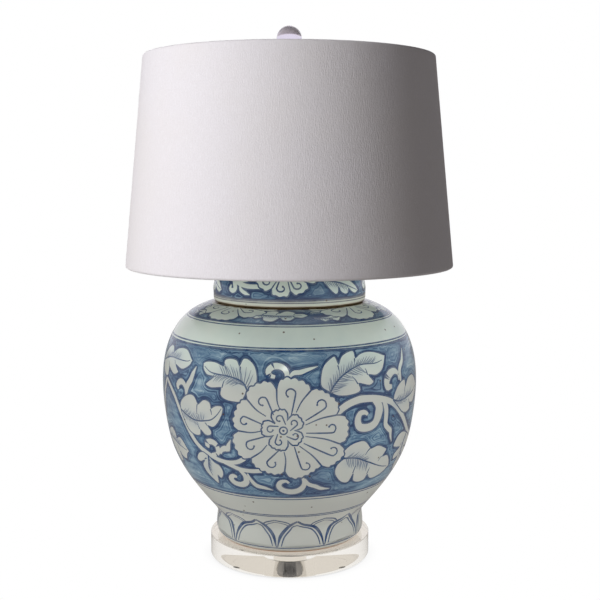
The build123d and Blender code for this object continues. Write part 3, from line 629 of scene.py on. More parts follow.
C = "corner"
LEAVES = (
    # upper left
    (((-16.8, 261, C), (-13, 272), (-13.6, 290), (-16.5, 300.5), (-19.5, 302), (-20.6, 296, C), (-22.5, 299.5),
      (-26, 301), (-28.3, 298), (-28.2, 293, C), (-33, 294.5), (-37.5, 294), (-39.4, 291, C), (-38.8, 283),
      (-36.5, 276.5), (-32.6, 274.5, C), (-35.5, 269), (-36.9, 264), (-34, 260.5), (-28.8, 258.5, C), (-29.2, 253),
      (-27, 247.5), (-23, 245.5), (-19.5, 247)),
     ((-16.8, 261), (-18.5, 270), (-21, 274.5), (-26, 278), (-31, 279), (-35, 281), (-38.3, 287)),
     ((-1, 0.05, 0.6, 15, 62), (1, 0.1, 0.75, 11, 58))),
    # far left
    (((-76, 280, C), (-75, 292), (-70, 303), (-66, 303), (-64, 297, C), (-60, 303), (-55, 305.5), (-51, 303),
      (-46.3, 291.5, C), (-48, 284), (-53, 277), (-59.5, 279, C), (-57, 275), (-56, 271.5), (-60, 267), (-66, 271, C),
      (-67, 262), (-71, 261), (-75, 268)),
     ((-76, 280), (-70, 286), (-64, 289), (-58, 289), (-51, 289), (-48, 291)), ((1, 0.1, 0.7, 9, 60),)),
    # left, below the ring
    (((-53.6, 223, C), (-53.6, 232), (-51, 241), (-46.8, 247), (-43.5, 246), (-41.5, 241.5, C), (-38, 243.5),
      (-35.2, 242.5), (-34.2, 239), (-34.6, 235.5, C), (-31.5, 238), (-28.6, 238.5), (-27.8, 235, C), (-28.6, 226),
      (-31, 214), (-33.5, 208), (-36.4, 208, C), (-34.7, 203), (-35, 197), (-38, 195.3), (-40.8, 199, C),
      (-41.2, 194.5), (-44, 192), (-47.5, 195), (-50, 202), (-52, 213)),
     ((-53.4, 223), (-50, 218.5), (-46, 214.5), (-42, 213.3), (-38, 215), (-34, 218.5), (-31, 226), (-28.7, 235)),
     ((1, 0.08, 0.6, 9, 75), (-1, 0.1, 0.45, 6, 60))),
    # lower left
    (((-38.4, 166, C), (-41.5, 170), (-44.5, 167), (-46.6, 159), (-46, 154.5), (-44, 154), (-42, 158.5, C),
      (-43.6, 150), (-43, 139), (-40.5, 129), (-37.6, 121.5), (-36.4, 128), (-35.8, 137, C), (-34.2, 132.5),
      (-32.3, 138), (-31.7, 146), (-33, 154), (-35.5, 158)),
     ((-38.4, 166), (-39, 157), (-40, 146), (-39.3, 134)), ((1, 0.1, 0.8, 6, 55),)),
    # far lower left
    (((-74, 176, C), (-71, 186), (-66, 190), (-63, 183), (-62.5, 178, C), (-59, 181), (-56, 177), (-52.3, 163.5, C),
      (-55, 157), (-57, 149), (-61, 150), (-63.5, 156, C), (-63, 146), (-65, 139), (-69, 145), (-71, 157)),
     ((-74, 176), (-67, 172), (-61, 168), (-54, 164)), ((1, 0.1, 0.7, 8, 60),)),
    # upper right
    (((17.2, 259, C), (13.6, 267), (13.5, 281), (15, 294), (18.3, 302.5), (20.4, 304.5), (21, 297, C), (23.5, 304.5),
      (27.5, 310), (29.8, 309.5), (29.8, 303, C), (33, 305.5), (37, 307.2), (41, 305.5), (45, 301), (47.2, 298.5, C),
      (46, 291), (43.8, 280.5), (40, 275), (35.5, 273.5, C), (37.6, 270), (38.2, 267), (36, 263), (31, 262.5, C),
      (31.2, 259), (29.5, 255), (25, 253), (20.5, 254)),
     ((17.2, 259), (19, 267.5), (22, 277), (25, 283), (29, 288.5), (33, 291.3), (40, 290.5), (44.5, 293)),
     ((1, 0.02, 0.85, 11, 52), (-1, 0.02, 0.62, 14, 58))),
    # far right
    (((50.3, 237, C), (51.3, 246), (54, 255), (57.5, 260), (60.2, 259.5), (60.6, 254, C), (63.5, 260), (68, 263),
      (72, 259), (77, 245, C), (75, 233), (71, 223), (66.5, 222, C), (66.8, 216), (63, 213), (58.5, 216.5),
      (54.5, 226)),
     ((50.5, 237), (55, 233.5), (60, 234), (66, 236), (71, 239.5), (75, 243.5)),
     ((1, 0.1, 0.7, 9, 62), (-1, 0.1, 0.5, 6, 55))),
    # lower right
    (((25, 168, C), (24.2, 177), (27, 185.5), (31, 189.5), (35, 188.5), (39.6, 180.5, C), (43, 178.5), (47.5, 173.5),
      (49.8, 168.5), (48, 162.5, C), (51.5, 159.5), (54.5, 151), (57, 139.5, C), (54, 131), (49, 126), (44, 126),
      (40.2, 131.5, C), (39.8, 126.5), (36, 124.5), (32.5, 129.5), (30.8, 137, C), (30, 128.5), (26.5, 129),
      (23, 138), (21.2, 149), (22, 160)),
     ((25, 168), (29, 167), (33, 164), (37, 158.5), (40.5, 154), (45, 148), (50, 142.5), (55, 139)),
     ((-1, 0.05, 0.5, 13, 72), (1, 0.05, 0.4, 9, 50))),
    # under the vine, right
    (((69, 181, C), (63, 186), (58, 183), (55.3, 170), (58, 166), (62.5, 163, C), (58.5, 155), (59.5, 146),
      (64, 147, C), (65, 131), (69.5, 120, C), (73, 131), (72.5, 145, C), (77.5, 142), (78, 150), (73, 160, C),
      (79, 159), (80, 166), (75, 172)),
     ((69, 181), (66.5, 170), (66, 158), (68, 146), (69.5, 132)), ((1, 0.1, 0.8, 8, 55),)),
    # over the vine, side
    (((88, 176, C), (82, 186), (79.5, 200), (82, 209), (85, 206, C), (79.8, 220), (80.5, 234), (84.5, 234, C),
      (81.5, 250), (84, 266), (86, 262, C), (86.5, 283), (90.5, 301, C), (94, 282), (93.4, 262, C), (97.5, 264),
      (98.5, 250), (94.8, 236, C), (98, 238), (99, 228), (95, 206, C), (97, 200), (94, 186)),
     ((88, 176), (88.5, 200), (89.5, 230), (90, 262), (90.4, 290)),
     ((1, 0.08, 0.7, 10, 52), (-1, 0.08, 0.7, 10, 52))),
)


def scroll(art, turn, wander, rng):
    """Half the way round the jar: the flower with its vines, curls and leaves."""
    art.turn, art.wander = turn, wander
    stems = [art.stem(points, width) for points, width in VINES]
    for path, width in stems:
        art.band(path, list(width), GLAZE)
    for outline, midrib, hatch in LEAVES:
        leaf(art, outline, midrib, hatch, rng)
    main_flower(art, -2.0, 210.8)
    art.turn, art.wander = 0.0, 0.0


def shoulder_band(art, rng):
    """Half flowers that hang from under the lid, with a leaf and two buds between them."""
    petals = ((112, 30, ((90, 36),)), (65, 30, ((40, 38),)), (15, 32, ((0, 40),)), (-22, 31, ((-40, 40),)),
              (-62, 32, ((-90, 41),)), (-118, 32, ((-140, 40),)), (-158, 31, ((-180, 40),)),
              (-202, 30, ((-220, 38),)))
    for k in range(4):
        art.turn = 90.0 * k
        art.wander = 0.0 if k in (0, 1, 3) else 1.5
        theta, s, wide = -42.0, 396.0, 1.7
        for outline, rib in (
            (((-20, 373, C), (-17, 379), (-11, 384), (-7, 383), (-6, 379, C), (-2, 383.5), (3, 381.5), (4.5, 377.5, C),
              (9, 376.5), (12, 371, C), (8, 366), (4, 366.5, C), (1, 360.5), (-3, 361), (-5, 365.5, C), (-9, 358),
              (-14, 360), (-15, 365.5, C), (-19, 363.5), (-21.5, 368)), ((-20, 373), (-12, 371), (-2, 370.5), (8, 371.5))),
            (((12, 377, C), (15, 374.5), (19, 376.5), (23, 375), (25, 380, C), (20, 383), (15, 382)),
             ((12, 377), (17, 379), (24, 379.5))),
            (((14, 367, C), (17, 364), (20, 357), (24, 361, C), (28, 357), (31, 364, C), (27, 370), (22, 366.5)),
             ((14, 367), (20, 364), (29, 363.5))),
        ):
            leaf(art, outline, rib, ((-1, 0.1, 0.8, 5.0, 60),), rng)
        shape = wheel_outline(art, theta, s, petals, wide=wide, bumps=7.5, depth=1.6)
        art.fill(shape)
        art.band(shape + shape[:1], 1.3, INK)
        for angle, radius, _ in petals:
            ends = [(radius * f * math.cos(angle * DEG) * wide, radius * f * math.sin(angle * DEG)) for f in (1, 0.35)]
            art.stroke([art.away(theta, s, *q) for q in ends], (1.3, 0.8))
        for angle, size in ((0, 5.5), (-40, 5.5), (-90, 5.5), (-140, 5.5), (-180, 5.5)):
            hook(art, theta, s, (angle - 10, 10), (angle, 24), size * 0.8, wide=wide, width=1.2)
    art.turn, art.wander = 0.0, 0.0


def foot_petals(art):
    """Two rows of lotus petals round the foot; the second row shows between the first."""
    count = 10
    width = 360 / count
    second = ((-13.5, 36), (-8.5, 47), (-1.0, 54), (7.5, 48.5), (13.5, 37))
    for k in range(count):
        base = -9.0 + k * width
        for inset, size, low in ((0, 1.9, 0), (4.5, 1.1, 6)):
            rise = [(base + u * (1 - inset / 60), s - inset) for u, s in second]
            left, right = rise[:3], rise[2:]
            art.stroke(left, (0.8, size, size))
            art.stroke(right, (size, size, 0.8))
    for k in range(count):
        base = -9.0 + k * width
        lean = 3.0 * math.sin(2.3 * k) if k else -3.0
        tip = base + width / 2 + lean
        left = ((base + 0.4, 10.5), (base + 2.6, 26), (base + 7.6, 38), (tip - 4.2, 44.5), (tip, 51.5))
        right = ((tip, 51.5), (tip + 4.2, 44.5), (base + width - 7.6, 38), (base + width - 2.6, 26),
                 (base + width - 0.4, 10.5))
        shape = flowing(art.flat(left), STROKE_STEP)[:-1] + flowing(art.flat(right), STROKE_STEP)
        art.fill(shape)
    for k in range(count):
        base = -9.0 + k * width
        lean = 3.0 * math.sin(2.3 * k) if k else -3.0
        tip = base + width / 2 + lean
        for inset, size in ((0.0, 3.2), (5.2, 1.5)):
            low, far, top = 10.5 + inset * 0.3, inset / 1.82, 51.5 - inset * 1.7
            left = ((base + 0.4 + far, low), (base + 2.6 + far, 26 - inset * 0.2), (base + 7.6 + far * 0.8, 38 - inset * 0.6),
                    (tip - 4.2 + far * 0.3, 44.5 - inset * 0.9), (tip, top))
            right = ((tip, top), (tip + 4.2 - far * 0.3, 44.5 - inset * 0.9),
                     (base + width - 7.6 - far * 0.8, 38 - inset * 0.6), (base + width - 2.6 - far, 26 - inset * 0.2),
                     (base + width - 0.4 - far, low))
            art.stroke(left, (0.9, size, size, size, size * 0.8))
            art.stroke(right, (size * 0.8, size, size, size, 0.9))


def lid_scroll(art, rng):
    """Three flowers round the lid, each with a leaf to its right and a vine to its left."""
    petals = ((120, 29, ((100, 36),)), (80, 29, ((58, 37),)), (36, 31, ((18, 40),)), (0, 31, ((-20, 40),)),
              (-38, 30, ((-58, 38),)), (-78, 30, ((-98, 38),)), (-118, 30, ((-138, 38),)),
              (-158, 30, ((-180, 38),)), (-200, 29, ((-222, 37),)))
    leaf_shape = ((24, 40, C), (27, 33), (31, 24), (35.5, 17.5), (38, 20), (38.5, 27, C), (40.5, 20.5), (45, 16.5),
                  (48, 18.5), (48.5, 24, C), (52, 19), (57, 16), (61, 20, C), (57, 28), (50, 37), (42, 43), (32, 44))
    for k in range(3):
        art.turn, art.wander = 120.0 * k, (0.0, 1.5, 1.5)[k]
        paths = [
            art.stem(((-14, 30), (-22, 29), (-32, 29), (-41, 33), (-49, 39), (-58, 50), (-62, 62)), (6, 6, 6, 5, 5)),
            art.stem(((-20, 44), (-27, 41), (-33, 37), (-40, 34)), (7, 6, 4, 3)),
            art.stem(((-47, 40), (-44.5, 33), (-42.5, 25), (-45, 21.5), (-48, 24), (-47, 29)), (3, 6, 7, 7, 6, 3)),
            art.stem(((-38.5, 30), (-37, 24), (-33.5, 20), (-29, 17.5)), (2, 5, 5, 0.6)),
            art.stem(((20, 66), (30, 62), (42, 60), (54, 64), (58, 62)), (6, 6, 5, 5)),
        ]
        for path, width in paths:
            art.band(path, list(width), GLAZE)
        leaf(art, leaf_shape, ((24, 40), (32, 36), (42, 32), (52, 25), (59, 20.5)), ((-1, 0.1, 0.7, 8, 60),), rng)
        upper = [(q[0] - 80, 108 - q[1], *q[2:]) for q in leaf_shape]
        leaf(art, upper, ((-56, 68), (-48, 72), (-38, 76), (-28, 83), (-21, 87)), ((1, 0.1, 0.7, 6, 60),), rng)
        theta, s = -3.0, 54.0
        shape = wheel_outline(art, theta, s, petals, wide=1.2, bumps=8.0, depth=1.9)
        art.fill(shape)
        art.band(shape + shape[:1], 1.4, INK)
        for angle, radius, _ in petals:
            ends = [(radius * f * math.cos(angle * DEG) * 1.2, radius * f * math.sin(angle * DEG)) for f in (1, 0.45)]
            art.stroke([art.away(theta, s, *q) for q in ends], (1.4, 0.9))
        for _, _, tips in petals:
            hook(art, theta, s, (tips[0][0] - 12, 14), (tips[0][0], 27), 4.8, wide=1.2, width=1.5)
        for a in (90, 18, -54, -126, 162):
            hook(art, theta, s, (a - 30, 3), (a, 9), 3.0, width=1.2)
    art.turn, art.wander = 0.0, 0.0


# ---------------------------------------------------------------- turning
def chain(bm, points, closed=False):
    """Vertices and edges of a half section, (radius, height) in mm, in the XZ plane."""
    verts = [bm.verts.new((r * MM, 0, z * MM)) for r, z in points]
    pairs = list(zip(verts, verts[1:]))
    if closed:
        pairs.append((verts[-1], verts[0]))
    return verts + [bm.edges.new(pair) for pair in pairs]


def spin_round(bm, geometry, steps):
    bmesh.ops.spin(bm, geom=geometry, cent=(0, 0, 0), axis=(0, 0, 1), angle=2 * math.pi, steps=steps, use_merge=True)


def finished(bm, name, smooth_angle=35):
    """Makes an object of a closed bmesh, facing outwards, smooth but for its sharp edges."""
    bmesh.ops.recalc_face_normals(bm, faces=bm.faces[:])
    if bm.calc_volume(signed=True) < 0:
        bmesh.ops.reverse_faces(bm, faces=bm.faces[:])
    mesh = bpy.data.meshes.new(name)
    bm.to_mesh(mesh)
    bm.free()
    mesh.polygons.foreach_set("use_smooth", [True] * len(mesh.polygons))
    mesh.set_sharp_from_angle(angle=smooth_angle * DEG)
    piece = bpy.data.objects.new(name, mesh)
    bpy.context.collection.objects.link(piece)
    return piece


def turned(name, points, steps=128, closed=True, smooth_angle=35):
    """A solid of revolution. Points on the axis may start and end an open section."""
    bm = bmesh.new()
    spin_round(bm, chain(bm, points, closed), steps)
    bmesh.ops.remove_doubles(bm, verts=bm.verts[:], dist=2e-6)
    return finished(bm, name, smooth_angle)


# ---------------------------------------------------------------- jar
FOOT = ((98.5, 32.0), (103.6, 38.0), (105.3, 46.0))
COLLAR = ((105.3, 46.0), (104.7, 55.0), (103.4, 64.0))
BODY = ((103.4, 64.0), (112.8, 80.5), (134.1, 107.0), (152.2, 134.0), (167.2, 167.0), (175.6, 205.0),
        (179.7, 250.0), (176.4, 291.0), (164.2, 325.0), (143.2, 350.0), (124.0, 361.0), (103.5, 367.2))
FOOT_INNER_R = 90.0
OUTLET_Z, OUTLET_R, OUTLET_SIDES = 43.0, 5.6, 24
JAR_WALL = 7.5


def outlet_ring(wall):
    """(degrees, mm) of the cord hole's edge, at the back of a wall."""
    ring = []
    for a in turns(OUTLET_SIDES):
        x, z = OUTLET_R * math.cos(a), OUTLET_Z + OUTLET_R * math.sin(a)
        s = wall.run_at_height(z)
        ring.append((180 - math.asin(x / wall.radius(s)) / DEG, s))
    return ring


def join_rims(bm, height):
    """Joins open rims that meet at a height, and fills what a finer rim leaves open along a coarser one."""
    level = [v for v in bm.verts if v.is_boundary and abs(v.co.z - height * MM) < 2e-6]
    bmesh.ops.remove_doubles(bm, verts=level, dist=5e-6)
    slits = [e for e in bm.edges if e.is_boundary and all(abs(v.co.z - height * MM) < 2e-6 for v in e.verts)]
    bmesh.ops.holes_fill(bm, edges=slits, sides=0)


def unroll_rest(bm, layers, points):
    """Lays the faces that carry no painting side by side under it in the bake map."""
    run = [0.0]
    for a, b in zip(points, points[1:]):
        run.append(run[-1] + math.dist(a, b))
    tree = kdtree.KDTree(len(points))
    for i, (r, z) in enumerate(points):
        tree.insert((r, z, 0), i)
    tree.balance()
    for face in bm.faces:
        if face[layers["skin"]]:
            continue
        middle = face.calc_center_median()
        centre = math.atan2(middle.y, middle.x)
        for loop in face.loops:
            x, y, z = loop.vert.co
            place = tree.find((math.hypot(x, y) / MM, z / MM, 0))[1]
            off = (math.atan2(y, x) - centre + math.pi) % (2 * math.pi) - math.pi
            u = (centre + off) / (2 * math.pi) + 0.5
            loop[layers["uv"]].uv = (min(max(u, 0), 1), 0.28 * run[place] / run[-1])


def set_wall_normals(piece, wall):
    """Exact surface directions on the painted wall, so that its fine triangles don't show in the shine."""
    mesh = piece.data
    corners = numpy.zeros(len(mesh.loops), int)
    mesh.loops.foreach_get("vertex_index", corners)
    totals = numpy.zeros(len(mesh.polygons), int)
    mesh.polygons.foreach_get("loop_total", totals)
    marks = numpy.zeros(len(mesh.polygons), int)
    mesh.attributes["skin"].data.foreach_get("value", marks)
    painted = numpy.repeat(marks, totals) == 1
    spots = numpy.zeros(len(mesh.vertices) * 3)
    mesh.vertices.foreach_get("co", spots)
    spots = spots.reshape(-1, 3)[corners]
    runs = numpy.zeros(len(mesh.vertices))
    mesh.attributes["run"].data.foreach_get("value", runs)
    samples = numpy.linspace(0, wall.length, 800)
    facing = numpy.array([wall.facing(s) for s in samples])
    out = numpy.interp(runs[corners], samples, facing[:, 0])
    up = numpy.interp(runs[corners], samples, facing[:, 1])
    round_axis = numpy.hypot(spots[:, 0], spots[:, 1])
    directions = numpy.column_stack((out * spots[:, 0] / round_axis, out * spots[:, 1] / round_axis, up))
    directions[~painted] = 0
    mesh.normals_split_custom_set(directions.tolist())


def make_jar():
    body = spline_through(BODY, (0.12, 1), (-1, 0.2), 14)
    wall = Wall(arc_through(*FOOT, 8)[:-1] + arc_through(*COLLAR, 9)[:-1] + body)
    art = Painting(wall, seam=-100, bands=((109, 313), (353, 400)))
    rng = random.Random(5)
    scroll(art, 0.0, 0.0, rng)
    scroll(art, 180.0, 2.6, rng)
    shoulder_band(art, rng)
    foot_petals(art)
    for s, width in ((317, 1.5), (313, 2.0), (107.5, 2.0), (103.5, 1.4), (67, 1.5), (63.5, 1.5), (352.5, 1.8),
                     (349, 1.3), (9.5, 1.2)):
        art.hoop(s, width)
    art.fill(art.flat(outlet_ring(wall)), GAP)
    recess = Wall([(FOOT_INNER_R, 32.0), (FOOT_INNER_R, 52.0)])
    inner = Painting(recess, seam=-100, bands=())
    inner.fill(inner.flat(outlet_ring(recess)), GAP)

    low = wall.run_at_height(64.0)
    inside = []
    for i in range(9):
        s = low + (wall.length - low) * (0.05 + 0.9 * i / 8)
        out, up = wall.facing(s)
        inside.append((wall.radius(s) - JAR_WALL * out, wall.height(s) - JAR_WALL * up))
    throat = spline_through([(85.0, 367.2), *reversed(inside)], (0.1, -1), (-0.7, -1), 6)
    rest = [(103.5, 367.2), *arc_through((98.6, 367.2), (94.4, 370.0), (92.5, 375.5), 7)]
    rest += arc_through((92.5, 390.25), (88.75, 394.0), (85.0, 390.25), 9)
    rest += throat
    rest += [(throat[-1][0] - 10, 61.0), (6.2, 61.0), (6.2, 52.0), (FOOT_INNER_R, 52.0)]
    foot = [(98.5, 32.0), (94.0, 32.0), (FOOT_INNER_R, 32.0)]
    bm = bmesh.new()
    layers = paint_layers(bm)
    spin_round(bm, chain(bm, rest) + chain(bm, foot), RING_STEPS)
    art.build(bm, layers, 1)
    inner.build(bm, layers, 2)
    for height in (367.2, 52.0, 32.0):
        join_rims(bm, height)
    bmesh.ops.bridge_loops(bm, edges=[e for e in bm.edges if e.is_boundary])
    unroll_rest(bm, layers, rest + foot)
    piece = finished(bm, "jar_painted", smooth_angle=30)
    set_wall_normals(piece, wall)
    return piece


LID_DOME = ((107.4, 384.0), (104.6, 399.0), (95.5, 414.5), (72.0, 430.5), (38.0, 439.8), (14.0, 442.0))
LID_UNDER = ((14.0, 435.5), (38.0, 433.2), (69.0, 424.0), (90.0, 409.6), (98.0, 397.0), (100.4, 384.0))


def make_lid():
    dome = spline_through(LID_DOME, (0, 1), (-1, 0), 12)
    wall = Wall(arc_through((105.4, 367.2), (106.5, 368.1), (107.0, 369.6), 6) + dome)
    art = Painting(wall, seam=-100, bands=((11, 92),))
    lid_scroll(art, random.Random(8))
    for s, width in ((7.5, 1.2), (10.5, 1.7), (92.5, 1.8), (96.0, 1.2)):
        art.hoop(s, width, sway=0.25)
    rest = [(14.0, 442.0), (6.2, 442.0), (6.2, 435.5)]
    rest += spline_through(LID_UNDER, (1, 0), (0, -1), 8)
    rest += [(99.4, 367.2), (105.4, 367.2)]
    bm = bmesh.new()
    layers = paint_layers(bm)
    spin_round(bm, chain(bm, rest), RING_STEPS)
    art.build(bm, layers, 1)
    for height in (367.2, 442.0):
        join_rims(bm, height)
    unroll_rest(bm, layers, rest)
    piece = finished(bm, "lid_painted", smooth_angle=30)
    set_wall_normals(piece, wall)
    return piece


# ---------------------------------------------------------------- shade
SHADE_LOW = (229.0, 415.0)
SHADE_HIGH = (200.5, 704.0)
LINEN_T = 0.9
ROLL_DEPTH = 6.5
ROLL_RETURN = 9.0
SHADE_STEPS = 240


def linen_section():
    """The middle line of the cloth as (radius, height): up the inner fold at the foot, round it, up the outside,
    round the top ring and down its inner fold."""
    (r0, z0), (r1, z1) = SHADE_LOW, SHADE_HIGH
    slope = math.atan2(r1 - r0, z1 - z0)
    half, turn = LINEN_T / 2 + 0.05, (ROLL_DEPTH - LINEN_T) / 2

    def on_cone(z, inset):
        return r0 + (z - z0) / (z1 - z0) * (r1 - r0) - inset, z

    line = []
    for edge, way in ((z0, -1), (z1, 1)):
        middle_r, middle_z = on_cone(edge - way * (turn + half), half + turn)
        start, stop = (math.pi, 2 * math.pi) if way < 0 else (0, math.pi)
        bend = []
        for i in range(13):
            a = start + (stop - start) * i / 12 - slope
            bend.append((middle_r + turn * math.cos(a), middle_z + turn * math.sin(a)))
        fold = on_cone(edge - way * ROLL_RETURN, ROLL_DEPTH - LINEN_T / 2)
        line += [fold, *bend] if way < 0 else [*bend, fold]
        if way < 0:
            line += [on_cone(z0 + 10 + (z1 - z0 - 20) * i / 24, half) for i in range(25)]
    return line


def thickened(line, thickness):
    """A closed outline with rounded ends, half a thickness to each side of a line."""
    left, right = [], []
    for i, q in enumerate(line):
        a, b = line[max(i - 1, 0)], line[min(i + 1, len(line) - 1)]
        size = math.dist(a, b)
        nx, nz = -(b[1] - a[1]) / size, (b[0] - a[0]) / size
        left.append((q[0] + nx * thickness / 2, q[1] + nz * thickness / 2))
        right.append((q[0] - nx * thickness / 2, q[1] - nz * thickness / 2))
    return left + right[::-1]


def add_cloth_map(piece, line, name):
    """A map in metres: round the shade, and along the cloth from its lower fold. It parts at the back."""
    run = [0.0]
    for a, b in zip(line, line[1:]):
        run.append(run[-1] + math.dist(a, b))
    tree = kdtree.KDTree(len(line))
    for i, (r, z) in enumerate(line):
        tree.insert((r, z, 0), i)
    tree.balance()
    mesh = piece.data
    layer = mesh.uv_layers.new(name=name)
    for polygon in mesh.polygons:
        middle = math.atan2(polygon.center.x, -polygon.center.y)
        for index in polygon.loop_indices:
            x, y, z = mesh.vertices[mesh.loops[index].vertex_index].co
            place = tree.find((math.hypot(x, y) / MM, z / MM, 0))[1]
            off = (math.atan2(x, -y) - middle + math.pi) % (2 * math.pi) - math.pi
            layer.data[index].uv = ((middle + off) * 0.215, run[place] * MM)


def make_linen():
    line = linen_section()
    piece = turned("linen", thickened(line, LINEN_T), SHADE_STEPS, smooth_angle=50)
    add_cloth_map(piece, line, "cloth")
    return piece


# ---------------------------------------------------------------- clear pieces
def rounded(points, size, count=5):
    """A closed outline with its corners rounded to a radius, in (radius, height)."""
    found = []
    total = len(points)
    for i, q in enumerate(points):
        p = Vector(q)
        a, b = Vector(points[i - 1]) - p, Vector(points[(i + 1) % total]) - p
        if q[0] < 1e-6 or size <= 0:
            found.append(q)
            continue
        reach = min(size, a.length / 2.1, b.length / 2.1)
        start, end = p + a.normalized() * reach, p + b.normalized() * reach
        for k in range(count + 1):
            t = k / count
            found.append(tuple((1 - t) ** 2 * start + 2 * t * (1 - t) * p + t**2 * end))
    return found


def make_acrylic():
    corners = [(5.6, 23.0), (24.0, 23.0), (24.0, 1.5), (114.0, 1.5), (114.0, 32.0), (97.6, 32.0), (97.4, 31.7), (5.6, 31.7)]
    return turned("acrylic_disc", rounded(corners, 1.2), 256, smooth_angle=40)


def make_crystal():
    """The ball, with the flat that is ground on it for its metal seat."""
    radius, centre, flat = 17.5, 728.5, 712.2
    low = math.asin((flat - centre) / radius)
    points = [(0, flat)]
    for i in range(61):
        a = low + (math.pi / 2 - low) * i / 60
        points.append((radius * math.cos(a) if i < 60 else 0, centre + radius * math.sin(a)))
    return turned("crystal_ball", points, 192, closed=False, smooth_angle=40)


# ---------------------------------------------------------------- materials
def tone(r, g, b):
    """A colour as seen on a screen, 0 to 255."""
    levels = [c / 255 for c in (r, g, b)]
    return (*[c / 12.92 if c <= 0.04045 else ((c + 0.055) / 1.055) ** 2.4 for c in levels], 1.0)


def add(tree, kind, inputs=None, **settings):
    made = tree.nodes.new("ShaderNode" + kind)
    for key, value in settings.items():
        setattr(made, key, value)
    for key, value in (inputs or {}).items():
        if isinstance(value, bpy.types.NodeSocket):
            tree.links.new(value, made.inputs[key])
        else:
            made.inputs[key].default_value = value
    return made


def blank(name):
    material = bpy.data.materials.new(name)
    material.use_nodes = True
    material.node_tree.nodes.clear()
    return material, material.node_tree


def math_of(tree, operation, *values, clamp=False):
    inputs = dict(enumerate(values))
    return add(tree, "Math", inputs, operation=operation, use_clamp=clamp).outputs[0]


def fade(tree, value, low, high, to_low=0.0, to_high=1.0, smooth=False):
    """Reads a value between low and high as a value between to_low and to_high."""
    kind = "SMOOTHSTEP" if smooth else "LINEAR"
    inputs = {"Value": value, "From Min": low, "From Max": high, "To Min": to_low, "To Max": to_high}
    return add(tree, "MapRange", inputs, interpolation_type=kind).outputs[0]


def blend_of(tree, factor, a, b):
    return add(tree, "Mix", {0: factor, 6: a, 7: b}, data_type="RGBA").outputs[2]


def ramp(tree, factor, stops):
    made = add(tree, "ValToRGB", {0: factor})
    elements = made.color_ramp.elements
    for element, (place, colour) in zip(elements, (stops[0], stops[-1])):
        element.position = place
        element.color = colour
    for place, colour in stops[1:-1]:
        elements.new(place).color = colour
    return made.outputs[0]


def grain(tree, coords, scale, detail=3.0, stretch=(1, 1, 1), distortion=0.0):
    """Noise over the object, finer along an axis that is stretched."""
    if stretch != (1, 1, 1):
        coords = add(tree, "Mapping", {"Vector": coords, "Scale": stretch}).outputs[0]
    inputs = {"Vector": coords, "Scale": scale, "Detail": detail, "Distortion": distortion}
    return add(tree, "TexNoise", inputs).outputs[0]


def bumped(tree, height, distance, strength=1.0):
    return add(tree, "Bump", {"Height": height, "Distance": distance, "Strength": strength}).outputs[0]


def surface(tree, shader):
    out = tree.nodes.new("ShaderNodeOutputMaterial")
    tree.links.new(shader.outputs[0], out.inputs[0])


